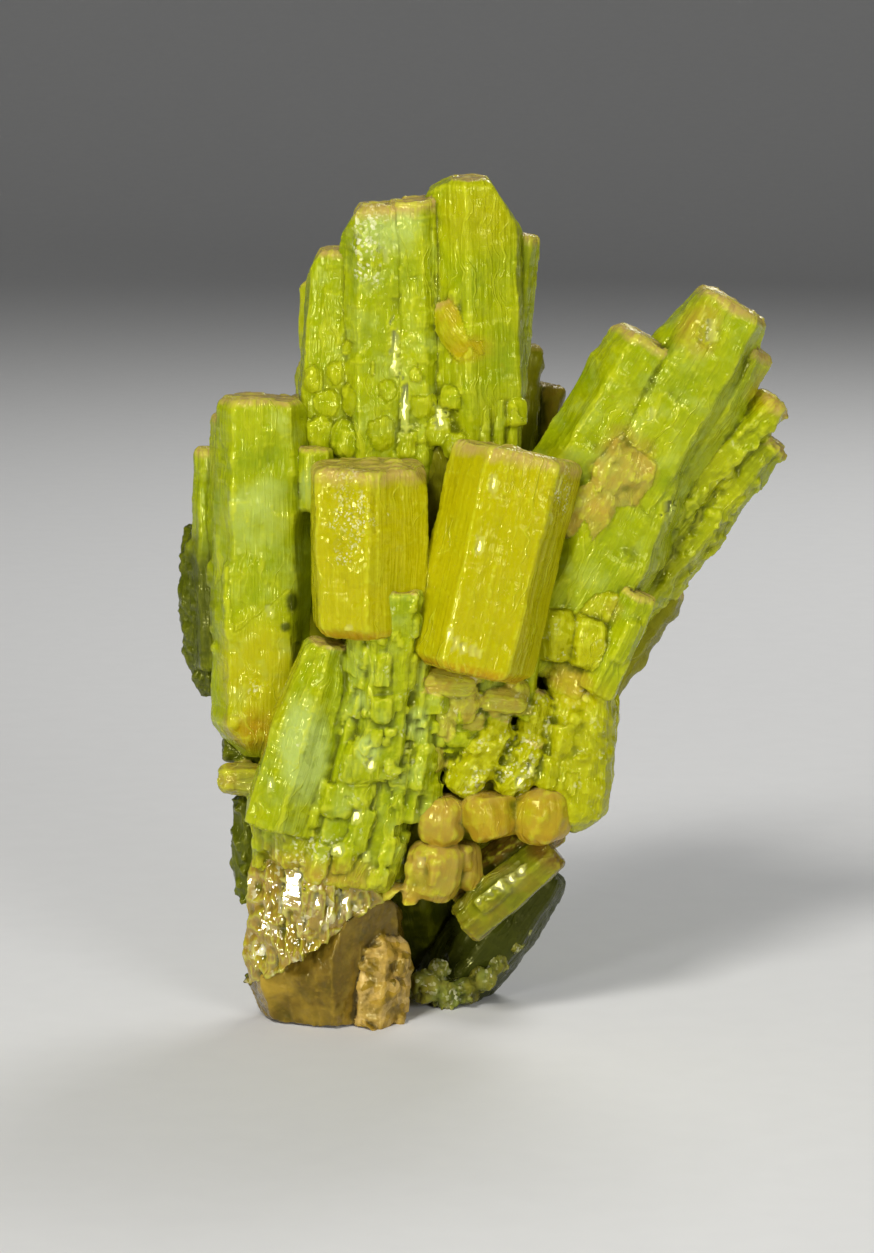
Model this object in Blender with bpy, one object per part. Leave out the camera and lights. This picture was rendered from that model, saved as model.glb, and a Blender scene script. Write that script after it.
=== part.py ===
"""Pyromorphite specimen: a fan of stout six-sided crystals that grew together, on a stub of matrix.

The tables are in millimetres and the scene is in metres. +Z is up and -Y is the front. The origin
is the middle of the flat break that the specimen stands on.

Every crystal is a block cut down by flat planes, the way a crystal is bounded: six prism sides,
six sloping faces and one flat face at each end, and extra cuts where an end is worn to one side.
"""

import math
import random
from collections import namedtuple

import bmesh
import bpy
from mathutils import Matrix, Vector

MM = 0.001
FRONT = Vector((0, -1, 0))
UP = Vector((0, 0, 1))

SIDES = 6
SIDE_STEP = 360 / SIDES
SIDE_SPREAD = 0.05  # how far a side strays from its stated distance, as a share
BEVEL_SPREAD = 0.45  # the same for the sloping faces of an end
BEVEL_TILT = 48  # degrees between the axis and the normal of a sloping end face
WAIST = 0.55  # where a barrel-shaped crystal is widest, as a share of its length

BLOCK_HALF = (0.28, 0.6)  # half widths of the small blocks fused to a side
BLOCK_LENGTH = (0.8, 2.2)
BLOCK_PROUD = (0.1, 0.24)  # how far a block stands out of its host's side

SEAM_POINT = (-1.2, 0, 4.1)  # the sloping seam where the crystals grew on the matrix
SEAM_TILT = 35  # degrees that the seam falls towards the left
SEAM_REACH = (3.2, 4.4)  # how far the matrix runs to the right and to the back
SEAM_GAP = 0.3  # between the matrix and the crystals

GROUND_SIZE = 80
SMALLEST_EDGE = 0.004

CRYSTAL_GREEN = (0.46, 0.52, 0.03)
MATRIX_BROWN = (0.17, 0.09, 0.02)

# foot, tip: the ends of the axis. across: from the axis to the front, right and left pairs of
# sides. turn: how far the front side is turned to the right, in degrees. narrow: width at the foot
# and at the tip against the width at the waist. bevel: width of the sloping faces at foot and tip.
# blocks: how many small blocks are fused to the sides. cuts: (azimuth, tilt, inset) of each extra
# sloping face at the tip, whose azimuth is 0 at the front and 90 at the right.
Crystal = namedtuple(
    "Crystal",
    "name foot tip across turn narrow bevel blocks cuts",
    defaults=((1.2, 1.2, 1.2), 0, (1, 1), (0, 0.3), 0, ()),
)


CENTRAL_SHEAF = (
    Crystal("central_left", (-0.7, 0.6, 18.0), (-0.2, 0.4, 34.9), (1.3, 1.5, 1.5),
            -20, (0.8, 0.85), (0, 0.3), 2, ((-90, 66, 0.9),)),
    Crystal("central_front_left", (1.5, -0.2, 18.0), (1.4, -0.6, 37.0), (1.2, 1.45, 1.4),
            5, (0.8, 0.95), (0, 0.3), 4, ((-90, 56, 0.8),)),
    Crystal("central_front_middle", (3.7, -0.3, 18.0), (3.2, -0.7, 37.2), (1.2, 1.1, 1.1),
            -12, (0.75, 1), (0, 0.2), 4),
    Crystal("central_tall", (6.2, 0.2, 18.0), (5.75, 0, 38.1), (2.2, 2.1, 2.1),
            22, (0.42, 0.95), (0, 0.3), 3, ((90, 57, 1.5), (-90, 27, 1.2))),
    Crystal("central_right_rib", (6.9, 0.8, 25.0), (8.0, 0.8, 35.6), (0.9, 0.8, 0.8),
            0, (0.6, 0.9), (0, 0.25)),
    Crystal("central_shade", (7.2, 3.0, 22.0), (8.5, 3.2, 30.5), (0.8, 0.7, 0.7),
            25, (0.8, 0.7), (0, 0.3)),
    Crystal("central_far_tip", (7.9, 4.4, 21.0), (9.3, 4.4, 28.6), (0.9, 0.9, 0.9),
            10, (0.8, 0.8), (0, 0.3)),
    Crystal("central_knob", (5.0, -1.9, 29.6), (4.6, -1.9, 33.2), (0.7, 0.95, 0.9),
            12, (0.8, 0.7), (0.6, 0.3)),
    Crystal("central_back_left", (0.3, 3.0, 18.0), (-0.2, 3.8, 33.4), (1.8, 1.9, 1.8),
            10, (0.8, 0.9), (0, 0.4), 2),
    Crystal("central_back_right", (4.0, 3.6, 18.0), (4.4, 4.8, 35.0), (2.1, 2.0, 2.2),
            -8, (0.7, 0.95), (0, 0.4), 3),
)
LEFT_SHEAF = (
    Crystal("left_upper", (-3.6, -0.4, 17.5), (-3.6, -0.6, 28.4), (1.5, 1.95, 1.9),
            4, (0.95, 0.9), (0, 0.3), 3),
    Crystal("left_shoulder", (-5.0, 0.3, 17.5), (-5.2, 0.2, 27.7), (1.3, 0.9, 0.9),
            -10, (0.9, 0.8), (0, 0.3), 1),
    Crystal("left_lower", (-3.8, -0.9, 12.7), (-3.7, -0.7, 19.8), (1.6, 2.0, 2.0),
            0, (0.72, 0.95), (0.8, 0.2), 1),
    Crystal("left_outer_thin", (-6.2, 1.4, 16.0), (-6.2, 1.3, 26.0), (0.9, 0.8, 0.7),
            -5, (0.9, 0.7), (0, 0.3), 1),
    Crystal("left_outer_rough", (-6.2, 2.0, 14.6), (-6.5, 2.0, 22.5), (1.3, 1.2, 1.1),
            18, (0.6, 0.5), (0.5, 0.6), 3),
    Crystal("left_link", (-1.5, 1.8, 16.0), (-1.8, 1.6, 28.3), (1.0, 0.9, 0.9),
            14, (0.9, 0.8), (0, 0.3), 2),
    Crystal("left_pale_block", (-1.3, -1.3, 23.4), (-1.2, -1.4, 26.3), (0.6, 0.75, 0.75),
            8, (0.9, 0.9), (0.3, 0.2)),
    Crystal("left_back", (-2.6, 3.2, 13.2), (-3.9, 5.2, 26.6), (2.4, 2.3, 2.2),
            -6, (0.8, 0.9), (0.4, 0.4), 3),
    Crystal("left_back_low", (-1.6, 4.6, 10.6), (-4.1, 7.8, 19.8), (1.6, 1.7, 1.6),
            14, (0.8, 0.9), (0.4, 0.4), 2),
)
FRONT_PRISMS = (
    Crystal("front_left_prism", (1.0, -3.8, 19.1), (1.2, -4.4, 25.7), (2.9, 2.35, 2.4),
            -16, (0.86, 1), (0.6, 0.15)),
    Crystal("front_left_stem", (1.2, -2.6, 12.0), (1.4, -3.1, 20.5), (1.7, 2.0, 2.0),
            6, (0.9, 1), (0, 0.2), 7),
    Crystal("front_right_prism", (5.5, -4.4, 16.8), (7.8, -3.1, 26.3), (2.5, 2.4, 2.7),
            10, (0.9, 1), (0.7, 0.15)),
    Crystal("front_right_stem", (5.2, -1.7, 12.5), (6.2, -2.0, 18.6), (1.8, 1.8, 1.8),
            20, (0.8, 1), (0, 0.3), 5),
)
RIGHT_SHEAF = (
    Crystal("right_body", (8.6, -0.5, 16.2), (14.3, -0.9, 27.0), (2.4, 2.6, 2.6),
            8, (0.75, 0.95), (0.3, 0.4), 6),
    Crystal("right_first", (8.5, -0.2, 22.0), (13.5, -0.4, 31.2), (1.7, 1.8, 1.8),
            -10, (0.9, 0.85), (0, 0.4), 3),
    Crystal("right_second", (10.6, -0.8, 21.0), (17.1, -1.0, 32.9), (1.8, 1.9, 1.8),
            12, (0.85, 0.85), (0, 0.5), 3,
            ((-90, 74, 0.7),)),
    Crystal("right_second_lower", (11.8, -0.4, 20.5), (18.0, -0.3, 30.9), (1.4, 1.3, 1.3),
            -6, (0.9, 0.9), (0, 0.3), 2),
    Crystal("right_third", (11.0, 0.3, 19.4), (19.2, 0.5, 28.3), (1.2, 1.0, 1.0),
            15, (0.9, 0.85), (0, 0.3), 3),
    Crystal("right_outer", (10.2, 1.2, 15.4), (19.0, 1.5, 26.6), (1.6, 1.3, 1.4),
            4, (0.8, 0.8), (0.4, 0.4), 5),
    Crystal("right_tan_upper", (11.5, -2.3, 23.4), (13.2, -2.8, 26.9), (0.8, 1.1, 1.0),
            14, (0.9, 0.9), (0.3, 0.3)),
    Crystal("right_tan_lower", (10.3, -2.6, 22.4), (11.7, -3.0, 25.4), (0.7, 0.8, 0.8),
            -8, (0.9, 0.9), (0.3, 0.3)),
    Crystal("right_low_rib", (11.2, -2.6, 15.4), (13.2, -2.6, 19.9), (0.8, 0.85, 0.8),
            22, (1, 0.9), (0.2, 0.2), 3),
    Crystal("right_low_end", (10.0, -1.2, 14.9), (11.6, -1.2, 20.0), (1.7, 1.6, 1.7),
            -14, (0.8, 1), (0.6, 0.2)),
    Crystal("right_lump_upper", (9.2, -2.5, 16.9), (9.5, -2.7, 19.2), (0.9, 0.95, 0.9),
            20, (0.8, 0.7), (0.3, 0.3)),
    Crystal("right_lump_lower", (10.7, -2.7, 16.6), (11.0, -2.7, 18.8), (0.9, 0.95, 0.9),
            5, (0.8, 0.8), (0.3, 0.3)),
    Crystal("right_shade", (10.4, 2.2, 13.2), (14.7, 2.4, 19.6), (1.0, 1.0, 1.0),
            10, (0.9, 0.9), (0.3, 0.3), 2),
    Crystal("right_back", (8.2, 3.0, 15.5), (12.9, 6.4, 25.6), (1.9, 1.9, 2.0),
            12, (0.75, 0.9), (0.4, 0.4), 3),
)
LOWER_CRYSTALS = (
    Crystal("lower_right_barrel", (10.0, -1.6, 9.0), (11.0, -1.3, 15.7), (1.5, 1.5, 1.5),
            12, (0.7, 0.85), (0.5, 0.3), 3),
    Crystal("lower_right_edge", (11.2, -0.3, 10.2), (11.8, -0.2, 15.4), (0.8, 0.8, 0.8),
            -12, (0.7, 0.9), (0.3, 0.2)),
    Crystal("round_knob_middle", (6.6, -3.1, 8.3), (6.5, -2.9, 11.3), (1.2, 1.2, 1.15),
            10, (0.75, 0.8), (0.6, 0.4)),
    Crystal("round_knob_right", (8.8, -2.7, 8.3), (9.0, -2.5, 11.5), (1.05, 1.0, 1.1),
            -14, (0.75, 0.8), (0.5, 0.4)),
    Crystal("round_knob_left", (4.1, -2.9, 8.4), (4.3, -2.9, 11.0), (1.0, 1.05, 1.0),
            24, (0.8, 0.8), (0.4, 0.3)),
    Crystal("pale_knob", (3.9, -2.5, 5.8), (4.2, -2.5, 8.8), (1.2, 1.3, 1.3),
            6, (0.7, 0.9), (0.6, 0.2), 2),
    Crystal("pale_knob_right", (5.4, -1.7, 6.2), (5.5, -1.7, 8.7), (0.7, 0.75, 0.7),
            -10, (0.8, 0.8), (0.3, 0.2)),
    Crystal("pale_knob_small", (2.5, -2.6, 5.1), (2.5, -2.6, 7.2), (0.65, 0.7, 0.7),
            16, (0.8, 0.8), (0.3, 0.2)),
    Crystal("tilted_prism", (5.4, -1.6, 4.9), (9.4, -1.3, 8.2), (0.9, 0.8, 0.8),
            18, (1, 0.9), (0.15, 0.2), 1),
    Crystal("shade_prism", (4.3, 4.2, -0.3), (9.7, 4.0, 6.0), (2.3, 2.1, 2.0),
            8, (0.85, 0.7), (0.4, 0.4), 3),
    Crystal("glitter_long", (5.1, -2.4, 10.9), (7.0, -2.7, 14.4), (0.95, 0.95, 0.95),
            12, (0.9, 0.7), (0.2, 0.4), 2),
    Crystal("glitter_tip", (8.0, -2.1, 11.3), (8.6, -2.4, 15.5), (0.8, 0.8, 0.75),
            -15, (1, 0.75), (0, 0.35), 2),
    Crystal("glitter_low", (7.0, -2.5, 10.8), (8.4, -2.8, 13.2), (0.7, 0.65, 0.7),
            20, (0.9, 0.8), (0.2, 0.3), 1),
    Crystal("small_block_left", (4.1, -3.6, 15.1), (4.1, -3.7, 16.9), (0.55, 0.6, 0.6),
            6, (1, 0.9), (0.15, 0.15)),
    Crystal("small_block_middle", (5.3, -3.5, 15.0), (5.3, -3.6, 16.7), (0.5, 0.6, 0.6),
            -8, (1, 0.9), (0.15, 0.15)),
    Crystal("small_block_right", (7.0, -3.2, 14.2), (7.1, -3.3, 16.2), (0.6, 0.7, 0.65),
            10, (1, 0.9), (0.15, 0.15)),
    Crystal("small_block_low", (5.1, -2.9, 13.4), (5.2, -3.0, 15.3), (0.6, 0.6, 0.6),
            15, (1, 0.9), (0.15, 0.15)),
    Crystal("small_block_outer", (3.6, -3.3, 15.0), (3.6, -3.4, 16.4), (0.5, 0.5, 0.5),
            8, (1, 0.9), (0.1, 0.15)),
    Crystal("small_block_corner", (7.5, -3.0, 14.6), (7.6, -3.1, 16.1), (0.45, 0.5, 0.5),
            -12, (1, 0.9), (0.1, 0.15)),
    Crystal("small_block_shelf", (4.5, -3.1, 13.6), (4.6, -3.2, 14.9), (0.6, 0.55, 0.6),
            20, (1, 0.9), (0.15, 0.15)),
    Crystal("small_block_lowest", (3.9, -2.8, 11.8), (3.8, -2.9, 13.3), (0.65, 0.7, 0.65),
            10, (0.9, 0.9), (0.2, 0.15)),
    Crystal("small_block_inner", (5.9, -2.5, 13.0), (6.0, -2.5, 14.6), (0.6, 0.6, 0.6),
            -6, (0.9, 0.9), (0.15, 0.15)),
    Crystal("front_rib", (7.8, -2.6, 14.3), (8.5, -2.6, 18.7), (0.5, 0.4, 0.4),
            12, (0.9, 1), (0.1, 0.1), 1),
    Crystal("barrel_lump_upper", (9.4, -2.6, 12.3), (9.7, -2.6, 14.0), (0.6, 0.6, 0.55),
            16, (0.85, 0.9), (0.2, 0.15)),
    Crystal("barrel_lump_lower", (9.9, -2.4, 10.2), (10.1, -2.5, 12.0), (0.7, 0.65, 0.7),
            -10, (0.85, 0.9), (0.25, 0.2)),
    Crystal("barrel_lump_left", (9.0, -2.6, 11.0), (9.1, -2.6, 12.5), (0.65, 0.6, 0.6),
            22, (0.9, 0.85), (0.2, 0.2)),
    Crystal("pale_knob_top", (5.2, -2.1, 7.2), (5.1, -2.2, 8.6), (0.6, 0.6, 0.65),
            10, (0.9, 0.9), (0.2, 0.15)),
    Crystal("lower_back_middle", (3.0, 3.4, 11.0), (3.6, 8.8, 20.0), (2.1, 2.2, 2.1),
            10, (0.8, 0.95), (0.3, 0.4), 3),
    Crystal("lower_back_left", (0.4, 3.0, 9.0), (-2.8, 7.2, 16.8), (1.7, 1.7, 1.8),
            -10, (0.8, 0.9), (0.3, 0.4), 2),
    Crystal("lower_back_right", (6.2, 2.6, 10.4), (9.4, 7.2, 16.4), (1.6, 1.5, 1.6),
            15, (0.8, 0.9), (0.3, 0.4), 2),
    Crystal("back_knob_left", (-0.6, 5.2, 9.6), (-1.2, 6.8, 12.4), (1.0, 1.0, 1.1),
            8, (0.8, 0.8), (0.3, 0.3)),
    Crystal("back_knob_right", (3.9, 4.4, 9.4), (5.2, 7.2, 11.6), (1.1, 1.0, 1.1),
            20, (0.8, 0.8), (0.3, 0.3)),
)
STEM = (
    Crystal("stem_core", (-0.2, 1.6, 3.4), (3.6, 1.8, 18.0), (3.6, 3.2, 3.2),
            12, (0.85, 1), (0, 0.6)),
    Crystal("sheaf_core", (2.4, 1.6, 13.0), (4.4, 1.6, 29.0), (3.5, 4.2, 4.0),
            0, (1, 0.75), (0, 0.6)),
    Crystal("sheaf_core_right", (4.4, 1.2, 12.0), (10.6, 1.4, 22.0), (3.1, 2.4, 2.4),
            10, (0.9, 0.9), (0.5, 0.6)),
    Crystal("sheaf_core_left", (0.6, 1.7, 11.0), (-3.0, 1.8, 19.5), (2.5, 2.0, 2.1),
            10, (0.9, 0.9), (0.5, 0.6)),
    Crystal("lower_core_right", (3.4, 0.6, 8.0), (9.8, -0.4, 13.4), (2.3, 2.0, 2.1),
            10, (1, 0.8), (0.5, 0.5)),
    Crystal("stem_leaning", (-2.8, -2.7, 9.5), (-0.5, -3.2, 17.8), (1.6, 1.7, 1.7),
            35, (1, 0.7), (0.15, 0.4), 4, ((40, 74, 0.9),)),
    Crystal("stem_blocky", (0.0, -1.6, 7.0), (2.0, -2.4, 16.8), (2.0, 2.3, 2.3),
            6, (1, 0.9), (0.3, 0.3), 20),
    Crystal("stem_right", (2.6, -2.4, 9.8), (3.7, -2.8, 15.9), (1.3, 1.2, 1.3),
            -8, (0.9, 0.9), (0.2, 0.3), 10),
    Crystal("stem_low", (-1.1, -0.9, 5.4), (-0.8, -1.1, 10.6), (2.6, 3.3, 3.2),
            8, (1, 0.95), (0, 0.4), 10),
    Crystal("root", (-1.5, -0.2, 0.2), (-0.8, -0.5, 8.2), (2.9, 3.1, 3.0),
            20, (0.9, 1), (0, 0.5), 6),
    Crystal("root_left", (-3.7, 0.0, 2.6), (-3.9, -0.1, 6.6), (0.8, 0.7, 0.7),
            5, (0.8, 0.8), (0.3, 0.3), 1),
    Crystal("left_peg", (-2.4, -0.7, 11.0), (-5.7, -0.9, 11.3), (0.75, 0.7, 0.75),
            10, (1, 0.9), (0, 0.2)),
    Crystal("left_peg_shade", (-2.4, 0.3, 12.3), (-5.5, 0.3, 12.4), (0.7, 0.65, 0.7),
            30, (1, 0.9), (0, 0.2)),
    Crystal("left_low_shade", (-4.3, 0.7, 5.2), (-4.5, 0.6, 10.2), (0.8, 0.8, 0.8),
            15, (0.8, 0.8), (0.3, 0.3), 1),
    Crystal("back_foot", (2.2, 2.6, 9.0), (3.8, 8.2, -0.6), (2.0, 2.0, 1.9),
            10, (1, 0.85), (0, 0), 2),
    Crystal("back_foot_short", (0.8, 3.0, 9.0), (0.2, 6.6, 3.0), (1.3, 1.2, 1.3),
            24, (1, 0.85), (0, 0.4), 2),
)
CRYSTALS = CENTRAL_SHEAF + LEFT_SHEAF + FRONT_PRISMS + RIGHT_SHEAF + LOWER_CRYSTALS + STEM

# The matrix is cut the same way, from rounded lumps of rock.
MATRIX_LUMPS = (
    Crystal("rock_middle", (-0.6, 0.0, -1.4), (-0.9, 0.0, 6.0), (3.0, 3.2, 3.1),
            15, (0.72, 0.9), (1.0, 0.8)),
    Crystal("rock_left", (-2.0, 0.2, -1.6), (-3.0, 0.0, 4.4), (2.1, 1.8, 1.9),
            -12, (0.5, 0.9), (0.8, 0.6)),
    Crystal("rock_right", (1.5, -0.9, -0.8), (1.9, -1.0, 4.4), (1.6, 1.4, 1.5),
            -10, (0.9, 0.85), (0.2, 0.5), 3),
    Crystal("rock_back", (-0.2, 2.4, -1.0), (-0.2, 2.2, 5.0), (2.0, 2.6, 2.5),
            5, (0.8, 0.9), (0.4, 0.6)),
)


def frame_of(crystal):
    """The matrix from a crystal's own axes (x front, y right, z along it) to the specimen's."""
    foot, tip = Vector(crystal.foot), Vector(crystal.tip)
    axis = (tip - foot).normalized()
    front = (FRONT - axis * FRONT.dot(axis)).normalized()
    right = axis.cross(front)
    turned = Matrix((front, right, axis)).transposed().to_4x4()
    return Matrix.Translation(foot) @ turned


def side_distances(crystal, chance):
    """How far each of the six sides stands from the axis: opposite sides are a pair."""
    spread = [chance.uniform(1 - SIDE_SPREAD, 1 + SIDE_SPREAD) for _ in range(SIDES)]
    return [crystal.across[side % 3] * spread[side] for side in range(SIDES)]


def facing(azimuth):
    """The direction straight out of the axis at an azimuth in degrees, in a crystal's own axes."""
    angle = math.radians(azimuth)
    return Vector((math.cos(angle), math.sin(angle), 0))


def sloping(out, along, tilt, inset_point):
    """A plane that leans from the axis direction along towards out by tilt degrees."""
    angle = math.radians(tilt)
    return (out * math.sin(angle) + along * math.cos(angle)).normalized(), inset_point


def planes_of(crystal):
    """The (normal, point) planes that bound a crystal, in its own axes."""
    chance = random.Random(crystal.name)
    length = (Vector(crystal.tip) - Vector(crystal.foot)).length
    ends = (
        (-UP, 0.0, crystal.narrow[0], crystal.bevel[0]),
        (UP, length, crystal.narrow[1], crystal.bevel[1]),
    )
    waist = UP * length * WAIST
    planes = [(-UP, Vector()), (UP, UP * length)]
    for side, distance in enumerate(side_distances(crystal, chance)):
        out = facing(crystal.turn + side * SIDE_STEP)
        planes.append((out, out * distance))
        for along, height, narrow, bevel in ends:
            reach = abs(height - waist.z)
            if narrow < 1:
                lean = math.atan2(reach, distance * (1 - narrow))
                planes.append(sloping(out, along, math.degrees(lean), waist + out * distance))
            if bevel:
                inset = bevel * chance.uniform(1 - BEVEL_SPREAD, 1 + BEVEL_SPREAD)
                rim = out * (distance * narrow - inset) + UP * height
                planes.append(sloping(out, along, BEVEL_TILT, rim))
    for azimuth, tilt, inset in crystal.cuts:
        out = facing(azimuth)
        rim = out * (max(crystal.across) - inset) + UP * length
        planes.append(sloping(out, UP, tilt, rim))
    return planes


def cut_block(planes, half_size):
    """A mesh of the space behind every plane: a block with one slice taken off for each."""
    solid = bmesh.new()
    bmesh.ops.create_cube(solid, size=2 * half_size)
    for normal, point in planes:
        everything = solid.verts[:] + solid.edges[:] + solid.faces[:]
        cut = bmesh.ops.bisect_plane(
            solid, geom=everything, plane_co=point, plane_no=normal, clear_outer=True
        )
        rim = [part for part in cut["geom_cut"] if isinstance(part, bmesh.types.BMEdge)]
        if rim:
            bmesh.ops.contextual_create(solid, geom=rim)
        bmesh.ops.remove_doubles(solid, verts=solid.verts[:], dist=SMALLEST_EDGE)
    bmesh.ops.recalc_face_normals(solid, faces=solid.faces[:])
    return solid


def add_object(name, solid, frame, collection, material):
    """An object in metres from a bmesh in millimetres and the matrix that places it."""
    bmesh.ops.transform(solid, matrix=Matrix.Scale(MM, 4) @ frame, verts=solid.verts[:])
    mesh = bpy.data.meshes.new(name)
    solid.to_mesh(mesh)
    solid.free()
    mesh.materials.append(material)
    made = bpy.data.objects.new(name, mesh)
    collection.objects.link(made)
    return made


def add_helper(name, solid, frame, collection, material):
    """A shape that only a Boolean reads."""
    made = add_object(name, solid, frame, collection, material)
    made.hide_render = True
    made.display_type = "WIRE"
    return made


def block_planes(half, length):
    planes = [(-UP, -UP * length / 2), (UP, UP * length / 2)]
    for side in range(SIDES):
        out = facing(side * SIDE_STEP)
        planes.append((out, out * half))
    return planes


def add_blocks(crystal, collection, material):
    """The small blocks fused to a crystal's sides, which share its directions."""
    chance = random.Random(crystal.name + " blocks")
    length = (Vector(crystal.tip) - Vector(crystal.foot)).length
    for number in range(crystal.blocks):
        side = chance.randrange(SIDES)
        half = chance.uniform(*BLOCK_HALF)
        height = chance.uniform(*BLOCK_LENGTH)
        proud = chance.uniform(*BLOCK_PROUD)
        distance = crystal.across[side % 3]
        turned = Matrix.Rotation(math.radians(crystal.turn + side * SIDE_STEP), 4, "Z")
        edge = 0.5 * distance
        place = Matrix.Translation(
            (distance + proud - half, chance.uniform(-edge, edge), length * chance.uniform(0.15, 0.85))
        )
        add_helper(
            f"{crystal.name}_block_{number}",
            cut_block(block_planes(half, height), height),
            frame_of(crystal) @ turned @ place,
            collection,
            material,
        )


def solid_of(crystal):
    reach = (Vector(crystal.tip) - Vector(crystal.foot)).length + 2 * max(crystal.across)
    return cut_block(planes_of(crystal), reach)


def boolean(target, operation, cutter):
    """A Boolean modifier against one object or a whole collection."""
    modifier = target.modifiers.new(operation.lower(), "BOOLEAN")
    modifier.operation = operation
    modifier.solver = "EXACT"
    if isinstance(cutter, bpy.types.Collection):
        modifier.operand_type = "COLLECTION"
        modifier.collection = cutter
    else:
        modifier.object = cutter


def new_collection(name):
    made = bpy.data.collections.new(name)
    bpy.context.scene.collection.children.link(made)
    return made


def new_material(name, colour, roughness):
    material = bpy.data.materials.new(name)
    material.use_nodes = True
    surface = material.node_tree.nodes["Principled BSDF"]
    surface.inputs["Base Color"].default_value = (*colour, 1)
    surface.inputs["Roughness"].default_value = roughness
    return material


def clear_scene():
    for old in list(bpy.data.objects):
        bpy.data.objects.remove(old)


def add_ground(collection, material):
    """Everything below the flat break that the specimen stands on."""
    solid = bmesh.new()
    bmesh.ops.create_cube(solid, size=GROUND_SIZE)
    return add_helper(
        "below_ground", solid, Matrix.Translation((0, 0, -GROUND_SIZE / 2)), collection, material
    )


def rock_planes(shift):
    """The space that the matrix fills, with each bounding plane moved out by shift."""
    across, back = SEAM_REACH
    angle = math.radians(SEAM_TILT)
    seam = Vector((-math.sin(angle), 0, math.cos(angle)))
    right = Vector((1, 0, 0))
    return [
        (seam, Vector(SEAM_POINT) + seam * shift),
        (right, right * (across + shift)),
        (-FRONT, -FRONT * (back + shift)),
    ]


def add_rock_space(name, shift, collection, material):
    solid = cut_block(rock_planes(shift), GROUND_SIZE / 2)
    return add_helper(name, solid, Matrix.Identity(4), collection, material)


def join_crystals(name, crystals, join, specimen, material):
    """One object from a list of crystals: the first, and a union with the rest."""
    first = crystals[0]
    joined = add_object(name, solid_of(first), frame_of(first), specimen, material)
    add_blocks(first, join, material)
    for crystal in crystals[1:]:
        add_helper(crystal.name, solid_of(crystal), frame_of(crystal), join, material)
        add_blocks(crystal, join, material)
    boolean(joined, "UNION", join)
    return joined


def build_specimen():
    clear_scene()
    specimen = new_collection("pyromorphite_specimen")
    crystals_to_join = new_collection("crystals_to_join")
    rock_to_join = new_collection("rock_to_join")
    cutters = new_collection("cutters")
    green = new_material("pyromorphite", CRYSTAL_GREEN, 0.35)
    brown = new_material("iron_stained_matrix", MATRIX_BROWN, 0.6)
    ground = add_ground(cutters, brown)
    rock_pocket = add_rock_space("rock_pocket", SEAM_GAP / 2, cutters, brown)
    rock_limit = add_rock_space("rock_limit", -SEAM_GAP / 2, cutters, brown)

    cluster = join_crystals("pyromorphite_crystals", CRYSTALS, crystals_to_join, specimen, green)
    boolean(cluster, "DIFFERENCE", rock_pocket)
    boolean(cluster, "DIFFERENCE", ground)

    rock = join_crystals("matrix_stub", MATRIX_LUMPS, rock_to_join, specimen, brown)
    boolean(rock, "INTERSECT", rock_limit)
    boolean(rock, "DIFFERENCE", ground)


build_specimen()
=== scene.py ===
"""A pyromorphite specimen, dressed: crystals with their ribs, blocks, growth lines and colours.

The tables are in millimetres and the scene is in metres. +Z is up and -Y is the front. A piece
starts as closed crystals: six-sided prisms with slender ribs and small blocks grown on their sides,
or rounded pillows. A voxel remesh joins them in one closed skin, which then gets its fine relief
and the masks that the materials read.
"""

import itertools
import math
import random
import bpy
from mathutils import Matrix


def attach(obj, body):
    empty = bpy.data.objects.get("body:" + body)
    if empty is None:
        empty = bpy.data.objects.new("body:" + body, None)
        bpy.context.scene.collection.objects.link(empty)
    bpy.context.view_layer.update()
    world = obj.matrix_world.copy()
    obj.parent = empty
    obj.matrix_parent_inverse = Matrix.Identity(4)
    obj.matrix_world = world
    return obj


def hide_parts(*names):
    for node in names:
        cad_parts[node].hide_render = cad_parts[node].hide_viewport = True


bl_info = {
    "name": "Pyromorphite Specimen",
    "version": (1, 0, 0),
    "blender": (4, 5, 0),
    "location": "View3D > Sidebar > Specimen",
    "description": "Dresses a pyromorphite specimen with ribs, blocks, grain and colour",
    "category": "Add Mesh",
}

from collections import namedtuple

import bmesh
import bpy
import numpy as np
from bpy.props import FloatProperty, FloatVectorProperty, PointerProperty
from mathutils import Matrix, Vector

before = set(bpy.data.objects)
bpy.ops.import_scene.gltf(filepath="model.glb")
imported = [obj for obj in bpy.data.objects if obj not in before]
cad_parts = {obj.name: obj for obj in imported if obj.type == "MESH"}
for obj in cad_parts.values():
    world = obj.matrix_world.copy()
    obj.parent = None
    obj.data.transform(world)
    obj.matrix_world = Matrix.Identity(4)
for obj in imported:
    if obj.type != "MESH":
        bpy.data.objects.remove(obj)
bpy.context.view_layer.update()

MM = 0.001
FRONT = Vector((0, -1, 0))
UP = Vector((0, 0, 1))

SIDES = 6
SIDE_STEP = 360 / SIDES
FLAT_REACH = math.cos(math.radians(SIDE_STEP / 2))  # from the axis to a side, against to a corner
SIDE_SPREAD = 0.05  # how far a side strays from its stated distance, as a share
BEVEL_SPREAD = 0.45  # the same for the sloping faces of an end
BEVEL_TILT = 48  # degrees between the axis and the normal of a sloping end face
WAIST = 0.55  # where a barrel-shaped crystal is widest, as a share of its length
SMALLEST_EDGE = 0.004

CHIP_REACH = (0.8, 1.05)  # where a chip starts, from the axis, against the usual width
CHIP_TILT = (20, 62)  # degrees, as for the bevels

PILLOW_TILTS = (-75, -45, -20, 0, 20, 45, 75)
PILLOW_STEP = 30
PILLOW_POWER = 1.5  # 1 makes a block of it, 2 a ball
PILLOW_UNEVEN = (0.88, 1.06)

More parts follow.
